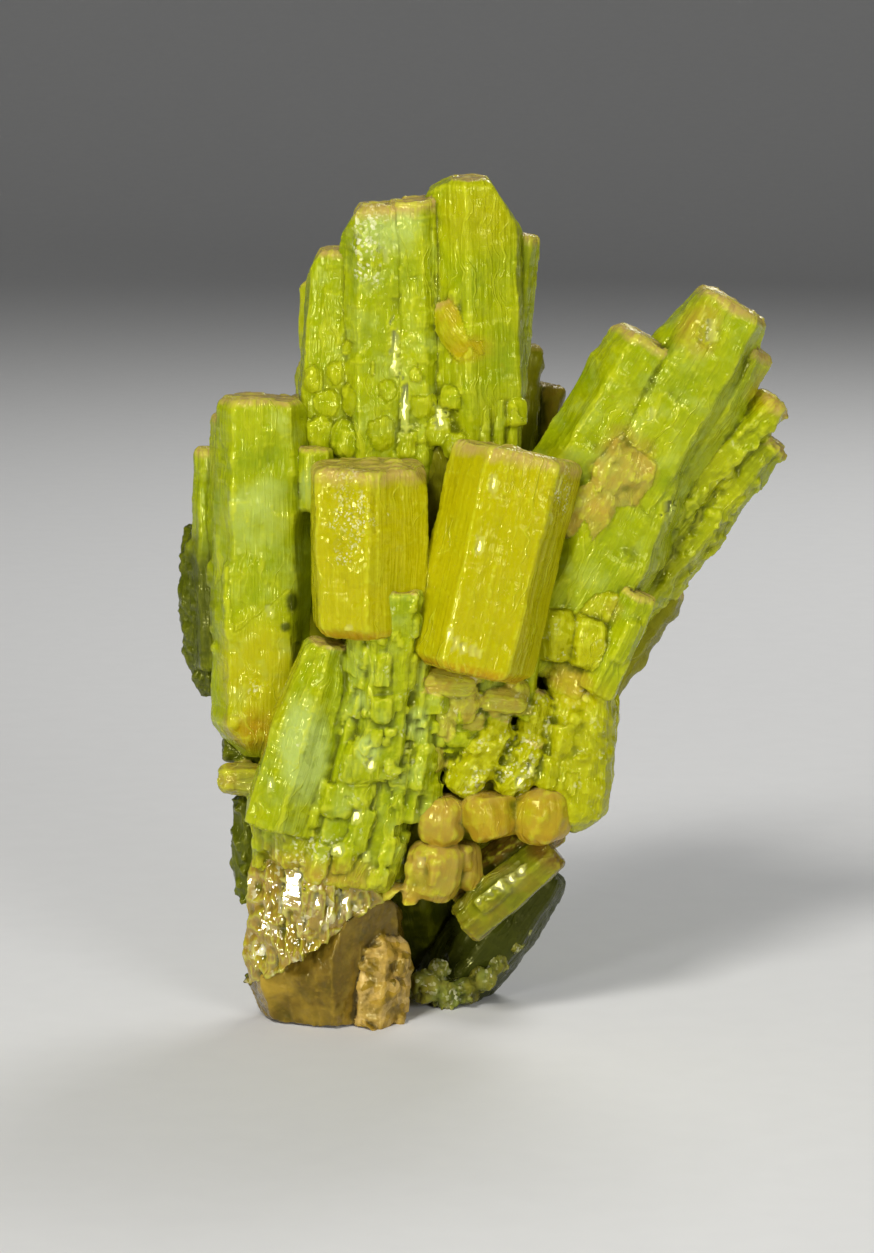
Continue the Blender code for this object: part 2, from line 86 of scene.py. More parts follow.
BLOCK_HALF = (0.28, 0.6)  # half widths of the larger blocks fused to a side
BLOCK_LENGTH = (0.8, 2.2)
BLOCK_PROUD = (0.1, 0.24)
BLOCK_ASIDE = 0.5  # how far from the middle of its side, against the side's distance
BLOCK_PLACES = (0.15, 0.85)  # along the crystal

RIM_SHARE = 0.3  # the sloping rim of a small prism, against its half width
STATIONS = 9  # places along a small body where it is kept to the side that carries it
FEWEST_STATIONS = 3
CAPS_TO_AREA = 2.2  # the blocks on an end: their number against the square of its half width
CAP_HALF = (0.2, 0.6)
CAP_PROUD = (0.02, 0.2)
CAP_DEPTH = 1.2
CAP_INSET = 0.85  # how far inside the sides a block starts, against its half width

OWN_REACH = (1.3, 0.6)  # how far round a crystal its skin may lie: a share of its width, and more
FLAT_GAP = 0.09  # skin nearer than this to a face is drawn to it, by a share
FLAT_DRAW = 0.85

# Two sizes of relief each, and the share of the second. A size is one number, or two for across
# and along a crystal.
WARP_SIZES = (4.2, 1.3, 0.4)
STRIA_SIZES = ((0.17, 5), (0.4, 9), 0.8)
TERRACE_SIZES = ((0.75, 0.9), (0.5, 1.4), 0.6)
GRAIN_SIZES = (0.3, 1, 0.8)
SWELL_SIZES = (1.7, 0.7, 0.5)

WARP = 0.12  # how far straight edges wander
WARP_SEEDS = (21, 22, 23)
LINE_SHARE = 0.5  # of the striae, which are fine lines and level ribs
RIB_SHARE = 0.8
RIB_SIZE = (0.42, 6.0)
END_STEPS = 0.06  # height of the fine steps on the end faces
END_STEP_SIZE = (0.6, 0.7)
FOLD_SIZE = (0.55, 1.5)
WRINKLE_SIZE = (0.25, 0.5)
FOLD_HEIGHTS = (0.5, 1.6, 0.5)  # the top, and the depths of the folds and of the small wrinkles
PIT_SIZE = 0.55
PIT_EDGE = (0.35, 0.7)
MOSAIC_BENDS = (0.3, 0.25)  # how far the joints of a wall of blocks wander, of a block's size
MOSAIC_SHIFT = 7  # how far its columns are shifted against each other, in blocks
SEED_STEP = 31
GROWN_STEP = 3.7  # how far apart neighbouring crystals lie in their noise
CHIPPED_SIZE = 0.45  # the worn stretches of the edges, and how deep they are
CHIPPED_EDGE = (0.45, 0.9)
CHIPPED_DEPTH = 0.07
TIP_STRENGTH = 0.8  # of the tone of the ends
PATCH_EDGE = (0.35, 1.15)  # where a patch starts to fade and ends, against its reach

# How far the skin stands out of its smoothed self, or sinks into it, for the ridges and the
# hollows:
# sharp ridges are chipped, pale ridges are lightened (painted highlight on the crystals) and deep
# hollows are darkened as painted shade.
SHARP_RIDGE = (0.012, 0.05)
PALE_RIDGE = (0.003, 0.02)
DEEP_HOLLOW = (0.008, 0.1)
RIDGE_ROUNDS = (3, 2)  # rounds of smoothing for the first two
HOLLOW_ROUNDS = 14

GLINT_EDGE = (1.0, 1.4)  # from level to untouched, against the half width
GLINT_RAGGED = (0.5, 0.2)  # how uneven the outline is, and the size of its bends
GLINT_DEPTH = 2.5  # how far back it reaches, against its half height
FACING_FRONT = -0.2  # the y of a normal, from which it counts as facing the front

SEAM_POINT = (-1.2, 0, 4.1)  # the sloping seam where the crystals grew on the matrix
SEAM_TILT = 35
SEAM_REACH = (3.2, 4.4)  # how far the matrix runs to the right and to the back
SEAM_OVERLAP = 0.12  # how far crystals and matrix run past the seam into each other

# The stage, in metres.
VIEW_HEIGHT = math.radians(9)
CAMERA_TARGET = (0.00414, 0.0, 0.01802)
SWEEP_STEPS = 16
WINDOW_PLACE = (-0.16, -0.25, 0.045)  # of the small light that makes the glints
SOFTBOXES = (
    ("key_light", (-0.09, -0.22, 0.24), 0.07, 0.61, (1.0, 0.98, 0.95)),
    ("window_light", WINDOW_PLACE, 0.04, 0.32, (1.0, 1.0, 1.0)),
    ("front_fill", (0.14, -0.26, 0.10), 0.10, 0.30, (1.0, 1.0, 1.0)),
    ("back_light", (0.10, 0.20, 0.22), 0.12, 0.35, (1.0, 1.0, 1.0)),
)
PAPER_GRAIN = 900.0
PAPER_SHADE = 0.96  # the darker grain, against the paper's own tone
PAPER_ROUGHNESS = 0.9
WORLD_COLOUR = (0.95, 0.97, 1.0)
WORLD_STRENGTH = 0.075

# The rows below give, in this order and as far as they differ from the defaults:
# foot, tip: the ends of the axis.
# across: from the axis to the front, right and left pairs of sides.
# turn: how far the front side is turned to the right, in degrees.
# narrow: width at the foot and at the tip against the width at the waist.
# bevel: width of the sloping faces at foot and tip.
# blocks: how many larger blocks are fused to the sides.
# cuts: (azimuth, tilt, inset) of each extra sloping face at the tip, whose azimuth is 0 at the
# front and 90 at the right.
Crystal = namedtuple(
    "Crystal",
    "name foot tip across turn narrow bevel blocks cuts",
    defaults=((1, 1), (0, 0.3), 0, ()),
)


def crystals(**rows):
    """A crystal for each row, with its name."""
    return tuple(Crystal(name, *row) for name, row in rows.items())


def knobbly(prefix, *rows):
    """Short crystals as high as they are wide, from their middles and half widths."""
    return tuple(
        Crystal(f"{prefix}_{number}", (x, y, z - half), (x, y, z + half), (half,) * 3,
                23 * number, (0.8, 0.8), (0.2, 0.2))
        for number, (x, y, z, half) in enumerate(rows)
    )


def thin_crystals(*rows):
    """Thin crystals between the stout ones at the back, from foot, tip and half width."""
    return tuple(
        Crystal(f"back_thin_{number}", foot, tip, (half, 0.85 * half, 1.1 * half),
                17 * number, (0.85, 0.9), (0, 0.3), 1)
        for number, (foot, tip, half) in enumerate(rows)
    )


MOUNDS = knobbly(
    "mound",
    (-1.0, -0.05, 26.8, 0.95), (0.4, -0.5, 26.6, 1.05), (1.7, -0.8, 27.0, 1.0),
    (3.0, -0.9, 26.5, 0.9), (4.3, -1.05, 27.0, 0.85), (-0.6, -0.25, 28.2, 0.75),
    (0.8, -0.85, 28.4, 0.9), (1.9, -1.1, 28.9, 0.65), (5.2, -1.4, 26.4, 0.75),
    (-0.2, -0.4, 29.5, 0.65), (1.2, -1.05, 29.8, 0.7), (3.5, -1.15, 28.2, 0.75),
    (4.9, -1.55, 28.5, 0.6), (3.3, -1.35, 29.6, 0.5), (-1.2, -0.2, 29.2, 0.6),
    (0.4, -0.85, 30.7, 0.5),
)
CENTRAL_SHEAF = MOUNDS + crystals(
    central_left=((-0.7, 0.6, 18.0), (-0.2, 0.4, 34.9), (1.3, 1.5, 1.5),
        -20, (0.8, 0.9), (0, 0.3), 2, ((-90, 64, 0.6),)),
    central_front_left=((1.5, -0.2, 18.0), (1.4, -0.6, 37.0), (1.2, 1.45, 1.4),
        5, (0.8, 0.95), (0, 0.3), 4, ((-90, 56, 0.8),)),
    central_front_middle=((3.7, -0.3, 18.0), (3.2, -0.7, 37.2), (1.2, 1.1, 1.1),
        -12, (0.75, 1), (0, 0.2), 4),
    central_tall=((6.2, 0.2, 18.0), (5.75, 0, 38.1), (2.2, 2.1, 2.1),
        22, (0.42, 0.95), (0, 0.3), 3, ((90, 57, 1.65), (-90, 27, 1.35))),
    central_right_rib=((6.9, 0.8, 25.0), (8.0, 0.8, 35.6), (0.9, 0.8, 0.8),
        0, (0.6, 0.9), (0, 0.25)),
    central_knob=((6.2, -1.65, 29.9), (4.3, -1.3, 32.9), (0.85, 0.9, 0.9),
        12, (0.8, 0.8), (0.6, 0.3)),
    tall_rib_first=((7.05, -1.4, 20.0), (6.75, -1.5, 31.6), (0.36, 0.3, 0.32),
        22, (0.8, 0.7), (0.1, 0.3), 1),
    tall_rib_second=((7.65, -1.1, 20.0), (7.35, -1.2, 30.0), (0.36, 0.3, 0.32),
        35, (0.8, 0.7), (0.1, 0.3), 1),
    tall_rib_third=((6.35, -1.7, 20.0), (6.25, -1.75, 28.8), (0.34, 0.3, 0.3),
        15, (0.8, 0.7), (0.1, 0.3)),
)
LEFT_SHEAF = crystals(
    left_upper=((-3.6, -0.4, 17.5), (-3.6, -0.6, 28.4), (1.5, 1.95, 1.9),
        4, (0.95, 0.9), (0, 0.3), 3),
    left_shoulder=((-5.0, 0.3, 17.5), (-5.2, 0.2, 27.7), (1.3, 0.9, 0.9),
        -10, (0.9, 0.8), (0, 0.3), 1),
    left_lower=((-3.9, -0.6, 12.3), (-3.7, -0.3, 21.6), (1.45, 2.0, 2.0),
        0, (0.93, 0.95), (1.5, 0.2)),
    left_outer_thin=((-6.2, 1.4, 16.0), (-6.2, 1.3, 26.0), (0.9, 0.8, 0.7),
        -5, (0.9, 0.7), (0, 0.3), 1),
    left_outer_rough=((-6.2, 2.0, 14.6), (-6.5, 2.0, 22.5), (1.3, 1.2, 1.1),
        18, (0.6, 0.5), (0.5, 0.6), 3),
    left_link=((-1.5, 1.8, 16.0), (-1.8, 1.6, 28.3), (1.0, 0.9, 0.9), 14, (0.9, 0.8), (0, 0.3), 2),
    left_pale_block=((-1.3, -1.3, 23.4), (-1.2, -1.4, 26.3), (0.6, 0.75, 0.75),
        8, (0.9, 0.9), (0.3, 0.2)),
)
GOLDEN_PRISMS = crystals(
    front_left_prism=((1.05, -3.3, 18.3), (1.2, -3.3, 25.8), (2.6, 2.5, 2.5),
        -24, (0.93, 1), (0.35, 0.15)),
    front_right_prism=((5.5, -4.2, 16.6), (7.8, -3.1, 26.3), (2.4, 2.5, 2.5),
        4, (0.95, 1), (0.35, 0.15)),
)
RIGHT_SHEAF = crystals(
    right_body=((8.6, -0.5, 16.2), (14.3, -0.9, 27.0), (2.4, 2.6, 2.6),
        8, (0.75, 0.95), (0.3, 0.4), 0, ((8, 80, 1.3), (68, 78, 1.1), (-52, 80, 0.9))),
    right_first=((8.5, -0.9, 22.0), (13.6, -0.8, 31.0), (1.9, 1.8, 1.8), -4, (0.95, 0.92)),
    right_second=((10.6, -1.0, 21.0), (17.1, -1.0, 32.9), (1.7, 2.1, 2.0),
        4, (0.9, 0.9), (0, 0.4), 0, ((-90, 74, 0.8),)),
    right_between=((9.6, -1.0, 21.5), (14.7, -0.9, 30.6), (1.6, 1.3, 1.3), 0, (0.9, 0.9)),
    right_second_lower=((11.8, -0.4, 20.5), (18.0, -0.3, 30.9), (1.4, 1.3, 1.3),
        -6, (0.9, 0.9), (0, 0.3), 2),
    right_third=((11.0, 0.3, 19.4), (19.2, 0.5, 28.3), (1.2, 1.0, 1.0),
        15, (0.9, 0.85), (0, 0.3), 3),
    right_outer=((10.2, 1.2, 15.4), (19.0, 1.5, 26.6), (1.6, 1.3, 1.4),
        4, (0.8, 0.8), (0.4, 0.4), 5),
    right_tan_upper=((11.4, -2.3, 23.2), (13.1, -2.4, 27.0), (0.7, 1.4, 1.3),
        14, (0.7, 0.7), (0.3, 0.3)),
    right_tan_lower=((10.3, -2.4, 22.0), (11.5, -2.5, 25.0), (0.7, 1.0, 1.0),
        -8, (0.8, 0.8), (0.3, 0.3)),
    right_low_rib=((11.2, -2.6, 15.4), (13.2, -2.6, 19.9), (0.8, 0.85, 0.8),
        22, (1, 0.9), (0.2, 0.2), 3),
    right_low_end=((10.0, -1.2, 14.9), (11.6, -1.2, 20.0), (1.7, 1.6, 1.7),
        -14, (0.8, 1), (0.6, 0.2)),
    right_lump_upper=((9.2, -2.5, 16.9), (9.5, -2.7, 19.2), (0.9, 0.95, 0.9),
        20, (0.8, 0.7), (0.3, 0.3)),
    right_lump_lower=((10.7, -2.7, 16.6), (11.0, -2.7, 18.8), (0.9, 0.95, 0.9),
        5, (0.8, 0.8), (0.3, 0.3)),
)
LOWER_CLUSTER = crystals(
    lower_right_barrel=((9.9, -1.7, 8.6), (10.8, -1.4, 16.4), (1.7, 1.7, 1.7),
        12, (0.7, 0.85), (0.5, 0.3)),
    lower_right_edge=((11.0, -0.3, 9.9), (11.5, -0.2, 15.9), (0.9, 0.9, 0.9),
        -12, (0.7, 0.9), (0.3, 0.2)),
    barrel_lump_upper=((9.4, -2.6, 12.3), (9.7, -2.6, 14.0), (0.6, 0.6, 0.55),
        16, (0.85, 0.9), (0.2, 0.15)),
    barrel_lump_lower=((9.9, -2.4, 10.2), (10.1, -2.5, 12.0), (0.7, 0.65, 0.7),
        -10, (0.85, 0.9), (0.25, 0.2)),
    barrel_lump_left=((9.0, -2.6, 11.0), (9.1, -2.6, 12.5), (0.65, 0.6, 0.6),
        22, (0.9, 0.85), (0.2, 0.2)),
    glitter_long=((5.1, -2.4, 10.9), (7.0, -2.7, 14.4), (0.95, 0.95, 0.95),
        12, (0.9, 0.7), (0.2, 0.4), 2),
    glitter_tip=((8.0, -2.1, 11.3), (8.6, -2.4, 15.5), (0.8, 0.8, 0.75),
        -15, (1, 0.75), (0, 0.35), 2),
    glitter_low=((7.0, -2.5, 10.8), (8.4, -2.8, 13.2), (0.7, 0.65, 0.7),
        20, (0.9, 0.8), (0.2, 0.3), 1),
    small_block_left=((3.5, -3.5, 16.1), (5.9, -3.7, 16.0), (0.65, 0.65, 0.6),
        6, (0.95, 0.9), (0.15, 0.15)),
    small_block_middle=((5.3, -3.5, 15.0), (5.3, -3.6, 16.7), (0.5, 0.6, 0.6),
        -8, (1, 0.9), (0.15, 0.15)),
    small_block_right=((6.1, -3.3, 15.3), (8.0, -3.2, 15.1), (0.6, 0.6, 0.6),
        10, (0.95, 0.9), (0.15, 0.15)),
    small_block_low=((4.3, -3.2, 14.5), (6.2, -3.0, 14.3), (0.55, 0.6, 0.6),
        15, (0.95, 0.9), (0.15, 0.15)),
    small_block_outer=((3.6, -3.3, 15.0), (3.6, -3.4, 16.4), (0.5, 0.5, 0.5),
        8, (1, 0.9), (0.1, 0.15)),
    small_block_corner=((7.5, -3.0, 14.6), (7.6, -3.1, 16.1), (0.45, 0.5, 0.5),
        -12, (1, 0.9), (0.1, 0.15)),
    small_block_shelf=((4.5, -3.1, 13.6), (4.6, -3.2, 14.9), (0.6, 0.55, 0.6),
        20, (1, 0.9), (0.15, 0.15)),
    small_block_lowest=((3.9, -2.8, 11.8), (3.8, -2.9, 13.3), (0.65, 0.7, 0.65),
        10, (0.9, 0.9), (0.2, 0.15)),
    small_block_inner=((5.9, -2.5, 13.0), (6.0, -2.5, 14.6), (0.6, 0.6, 0.6),
        -6, (0.9, 0.9), (0.15, 0.15)),
    front_rib=((7.8, -2.6, 14.3), (8.5, -2.6, 18.7), (0.5, 0.4, 0.4), 12, (0.9, 1), (0.1, 0.1), 1),
    front_right_stem=((5.2, -1.7, 12.5), (6.2, -2.0, 18.6), (1.8, 1.8, 1.8),
        20, (0.8, 1), (0, 0.3), 5),
)
KNOBS = crystals(
    round_knob_middle=((6.6, -2.9, 8.7), (6.35, -2.8, 11.1), (1.3, 1.3, 1.3),
        10, (0.85, 0.9), (0.5, 0.4)),
    round_knob_right=((8.9, -2.5, 8.5), (8.75, -2.4, 11.2), (1.4, 1.4, 1.4),
        -14, (0.85, 0.9), (0.5, 0.4)),
    round_knob_left=((4.15, -2.7, 8.6), (4.4, -2.7, 10.9), (1.1, 1.1, 1.1),
        24, (0.85, 0.9), (0.4, 0.3)),
    pale_knob=((3.9, -2.5, 5.8), (4.2, -2.5, 8.8), (1.2, 1.3, 1.3), 6, (0.7, 0.9), (0.6, 0.2), 2),
    pale_knob_right=((5.4, -1.7, 6.2), (5.5, -1.7, 8.7), (0.7, 0.75, 0.7),
        -10, (0.8, 0.8), (0.3, 0.2)),
    pale_knob_small=((2.5, -2.6, 5.1), (2.6, -2.6, 6.8), (0.85, 0.85, 0.85),
        16, (0.8, 0.8), (0.3, 0.2)),
    pale_knob_top=((5.2, -2.1, 7.2), (5.1, -2.2, 8.6), (0.6, 0.6, 0.65),
        10, (0.9, 0.9), (0.2, 0.15)),
    tilted_prism=((5.3, -1.7, 4.7), (9.4, -1.4, 8.1), (1.05, 0.95, 0.95),
        18, (1, 0.9), (0.15, 0.2), 1),
    # A filler crystal whose dark brown is painted shade in the gap behind the knobs.
    knob_shade=((4.8, 0.3, 5.6), (9.4, 0.5, 9.0), (1.3, 1.2, 1.2), 5, (0.9, 0.8), (0.3, 0.3)),
)
STEM = crystals(
    front_left_stem=((1.5, -2.6, 12.0), (2.1, -3.6, 20.6), (1.9, 1.7, 1.7),
        6, (0.9, 1), (0, 0.2), 5),
    stem_leaning=((-2.8, -2.7, 9.5), (-0.5, -3.2, 17.8), (1.6, 1.7, 1.7),
        35, (1, 0.7), (0.15, 0.4), 4, ((40, 74, 0.9),)),
    stem_blocky=((0.0, -1.6, 7.0), (2.0, -2.4, 16.8), (2.0, 2.3, 2.3), 6, (1, 0.9), (0.3, 0.3), 20),
    stem_right=((2.6, -2.4, 9.8), (3.7, -2.8, 15.9), (1.3, 1.2, 1.3),
        -8, (0.9, 0.9), (0.2, 0.3), 10),
    stem_low=((-1.1, -0.9, 7.6), (-0.8, -1.1, 10.8), (2.5, 3.2, 3.1),
        8, (0.95, 0.95), (0.4, 0.4), 6),
    left_peg=((-2.4, -0.7, 11.0), (-5.7, -0.9, 11.3), (0.75, 0.7, 0.75), 10, (1, 0.9), (0, 0.2)),
    left_peg_shade=((-2.4, 0.3, 12.3), (-5.5, 0.3, 12.4), (0.7, 0.65, 0.7), 30, (1, 0.9), (0, 0.2)),
    left_low_shade=((-4.3, 0.7, 5.2), (-4.5, 0.6, 10.2), (0.8, 0.8, 0.8),
        15, (0.8, 0.8), (0.3, 0.3), 1),
)
ROOT = crystals(
    root=((-1.5, -0.2, 0.2), (-0.8, -0.6, 8.6), (3.0, 3.2, 3.1), 20, (0.9, 0.95), (0, 0.5)),
    root_left=((-3.7, 0.0, 2.6), (-3.9, -0.1, 6.6), (0.8, 0.7, 0.7), 5, (0.8, 0.8), (0.3, 0.3)),
)
# The granular crust on the lower edge of the dark crystal.
CRUST = knobbly(
    "crust",
    (3.6, 1.6, 1.0, 0.7), (4.6, 1.7, 0.7, 0.7), (5.5, 1.9, 0.8, 0.65), (6.3, 2.0, 1.3, 0.6),
    (7.0, 2.2, 2.0, 0.5), (7.7, 2.3, 2.8, 0.45), (4.2, 1.9, 1.8, 0.45), (8.3, 2.5, 3.5, 0.35),
)
# Crystals that stand in shadow and in the dark hollows: their dark olive body is painted shade.
SHADE_CRYSTALS = crystals(
    central_shade=((7.2, 3.0, 22.0), (8.5, 3.2, 30.5), (0.8, 0.7, 0.7), 25, (0.8, 0.7)),
    central_far_tip=((7.9, 4.4, 21.0), (9.3, 4.4, 28.6), (0.9, 0.9, 0.9), 10, (0.8, 0.8)),
    right_shade=((10.4, 2.2, 13.2), (14.7, 2.4, 19.6), (1.0, 1.0, 1.0),
        10, (0.9, 0.9), (0.3, 0.3), 2),
    inner_shade=((7.6, 0.4, 13.2), (10.6, 0.6, 16.8), (1.3, 1.3, 1.2), 8, (0.9, 0.9), (0.3, 0.3)),
    shade_prism=((4.3, 4.2, -0.3), (9.2, 4.0, 6.3), (2.3, 2.0, 1.9), 8, (0.85, 0.7), (0.4, 0.4), 3),
)
BACK_CRYSTALS = thin_crystals(
    ((1.9, 4.0, 14.0), (1.2, 6.9, 24.6), 0.9), ((5.6, 4.0, 14.0), (7.2, 7.4, 22.6), 0.85),
    ((-1.0, 4.2, 16.0), (-1.7, 5.2, 29.6), 0.8), ((6.6, 3.6, 18.0), (8.1, 5.2, 29.4), 0.8),
    ((2.2, 4.0, 20.0), (2.1, 5.4, 31.4), 0.7), ((10.2, 3.0, 18.0), (14.6, 4.4, 26.6), 0.8),
    ((0.8, 4.0, 10.0), (0.4, 7.8, 18.2), 0.8), ((5.0, 3.8, 10.5), (6.7, 7.8, 17.4), 0.8),
    ((-2.6, 4.0, 10.0), (-4.4, 5.8, 16.6), 0.7), ((3.4, 3.4, 9.0), (4.5, 7.0, 13.6), 0.6),
) + crystals(
    central_back_left=((0.3, 3.0, 18.0), (-0.2, 3.8, 33.4), (1.8, 1.9, 1.8),
        10, (0.8, 0.9), (0, 0.4), 2),
    central_back_right=((4.0, 3.6, 18.0), (4.4, 4.8, 35.0), (2.1, 2.0, 2.2),
        -8, (0.7, 0.95), (0, 0.4), 3),
    left_back=((-2.6, 3.2, 13.2), (-3.9, 5.2, 26.6), (2.4, 2.3, 2.2),
        -6, (0.8, 0.9), (0.4, 0.4), 3),
    left_back_low=((-1.6, 4.6, 10.6), (-4.1, 7.8, 19.8), (1.6, 1.7, 1.6),
        14, (0.8, 0.9), (0.4, 0.4), 2),
    right_back=((8.2, 3.0, 15.5), (12.9, 6.4, 25.6), (1.9, 1.9, 2.0),
        12, (0.75, 0.9), (0.4, 0.4), 3),
    lower_back_middle=((3.0, 3.4, 11.0), (3.6, 8.8, 20.0), (2.1, 2.2, 2.1),
        10, (0.8, 0.95), (0.3, 0.4), 3),
    lower_back_left=((0.4, 3.0, 9.0), (-2.8, 7.2, 16.8), (1.7, 1.7, 1.8),
        -10, (0.8, 0.9), (0.3, 0.4), 2),
    lower_back_right=((6.2, 2.6, 10.4), (9.4, 7.2, 16.4), (1.6, 1.5, 1.6),
        15, (0.8, 0.9), (0.3, 0.4), 2),
    back_knob_left=((-0.6, 5.2, 9.6), (-1.2, 6.8, 12.4), (1.0, 1.0, 1.1),
        8, (0.8, 0.8), (0.3, 0.3)),
    back_knob_right=((3.9, 4.4, 9.4), (5.2, 7.2, 11.6), (1.1, 1.0, 1.1),
        20, (0.8, 0.8), (0.3, 0.3)),
    back_foot=((2.2, 2.6, 9.0), (3.8, 8.2, -0.6), (2.0, 2.0, 1.9), 10, (1, 0.85), (0, 0), 2),
    back_foot_short=((0.8, 3.0, 9.0), (0.2, 6.6, 3.0), (1.3, 1.2, 1.3), 24, (1, 0.85), (0, 0.4), 2),
)
CORE = crystals(
    stem_core=((-0.2, 1.6, 3.4), (3.6, 1.8, 18.0), (3.6, 3.2, 3.2), 12, (0.85, 1), (0, 0.6)),
    sheaf_core=((2.4, 1.6, 13.0), (4.4, 1.6, 29.0), (3.5, 4.2, 4.0), 0, (1, 0.75), (0, 0.6)),
    sheaf_core_right=((4.4, 1.2, 12.0), (10.6, 1.4, 22.0), (3.1, 2.4, 2.4),
        10, (0.9, 0.9), (0.5, 0.6)),
    sheaf_core_left=((0.6, 1.7, 11.0), (-3.0, 1.8, 19.5), (2.5, 2.0, 2.1),
        10, (0.9, 0.9), (0.5, 0.6)),
    lower_core_right=((3.4, 0.6, 8.0), (9.8, -0.4, 13.4), (2.3, 2.0, 2.1),
        10, (1, 0.8), (0.5, 0.5)),
)
MATRIX_LUMPS = crystals(
    rock_middle=((-0.6, 0.0, -1.4), (-0.9, 0.0, 6.0), (2.9, 3.2, 3.1),
        -24, (0.66, 0.95), (0.8, 0.8), 0, ((-35, 72, 1.5), (40, 100, 0.1))),
    rock_left=((-2.0, 0.2, -1.6), (-3.0, 0.0, 4.4), (2.1, 1.8, 1.9), -12, (0.5, 0.9), (0.8, 0.6)),
    rock_right=((1.3, -0.9, -0.8), (1.8, -1.0, 4.2), (1.4, 1.15, 1.3),
        -10, (0.95, 0.75), (0.2, 0.7), 1, ((-60, 40, 0.9),)),
    rock_back=((-0.2, 2.4, -1.0), (-0.2, 2.2, 5.0), (2.0, 2.6, 2.5), 5, (0.8, 0.9), (0.4, 0.6)),
)

# A layer of small bodies grown on the sides: cover is their area against the side's, half_width
# and length are ranges, proud is how far they stand out, and lean how far they turn, in degrees.
Layer = namedtuple("Layer", "cover half_width length proud lean rounded", defaults=(False,))
PANELS = Layer(0.35, (0.5, 1.1), (3.0, 12.0), (0.02, 0.12), 1.5)
RIBS = Layer(0.16, (0.12, 0.35), (1.2, 6.0), (0.01, 0.09), 2.5)
THREADS = Layer(0.06, (0.07, 0.14), (0.6, 3.0), (0.02, 0.07), 4)
BRICKS = Layer(0.6, (0.45, 0.85), (0.8, 2.2), (0.1, 0.45), 8)
SMALL_BRICKS = Layer(0.25, (0.2, 0.38), (0.3, 0.9), (0.08, 0.3), 12)
WAVES = Layer(0.2, (0.3, 0.7), (0.8, 3.5), (0.01, 0.07), 6)
STEPS = Layer(0.08, (0.2, 0.5), (0.4, 1.4), (0.02, 0.08), 6)
FLAT_BRICKS = Layer(0.3, (0.4, 0.8), (0.8, 3.0), (0.05, 0.2), 4)
CHIPS = Layer(0.6, (0.3, 0.75), (0.5, 1.5), (0.05, 0.3), 35)
CRUMBS = Layer(0.35, (0.12, 0.3), (0.2, 0.5), (0.08, 0.22), 30)
LUMPS = Layer(0.3, (0.3, 0.75), (0.5, 1.3), (0.05, 0.22), 30, True)

TONES = ("gold", "pale", "olive", "tan", "orange", "brown")

# layers: what grows on the sides. caps: cover of the small blocks on the ends. chips: small flat
# breaks at the ends. bevel: the sloping end faces against the ones in the table, or 0 for a pillow
# with no flat sides. soft: rounds of softening of the edges. Heights of relief in millimetres:
# striae along the sides, terraces, grain, swell of broad lumps, folds like wrinkled wax, pits.
# glitter: how much the surface sparkles; where it is strong, white specks are painted as glints.
# tip,
# foot: length of the band at each end that has its own tone; the orange foot band is painted shade
# on the underside. tones: the share of each.
Look = namedtuple(
    "Look",
    "layers caps striae terraces grain swell folds pits glitter tip foot chips bevel soft tones",
)
USUAL = {
    "caps": 0.8, "striae": 0.02, "terraces": 0.02, "grain": 0.012, "swell": 0.05, "folds": 0,
    "pits": 0, "glitter": 0.1, "tip": 0.5, "foot": 0, "chips": 5, "bevel": 0.6, "soft": 2,
}


def look(*layers, **values):
    """A look from its layers, whatever isn't as usual, and the shares of its tones."""
    tones = tuple(values.pop(tone, 0) for tone in TONES)
    return Look(layers, **(USUAL | values), tones=tones)


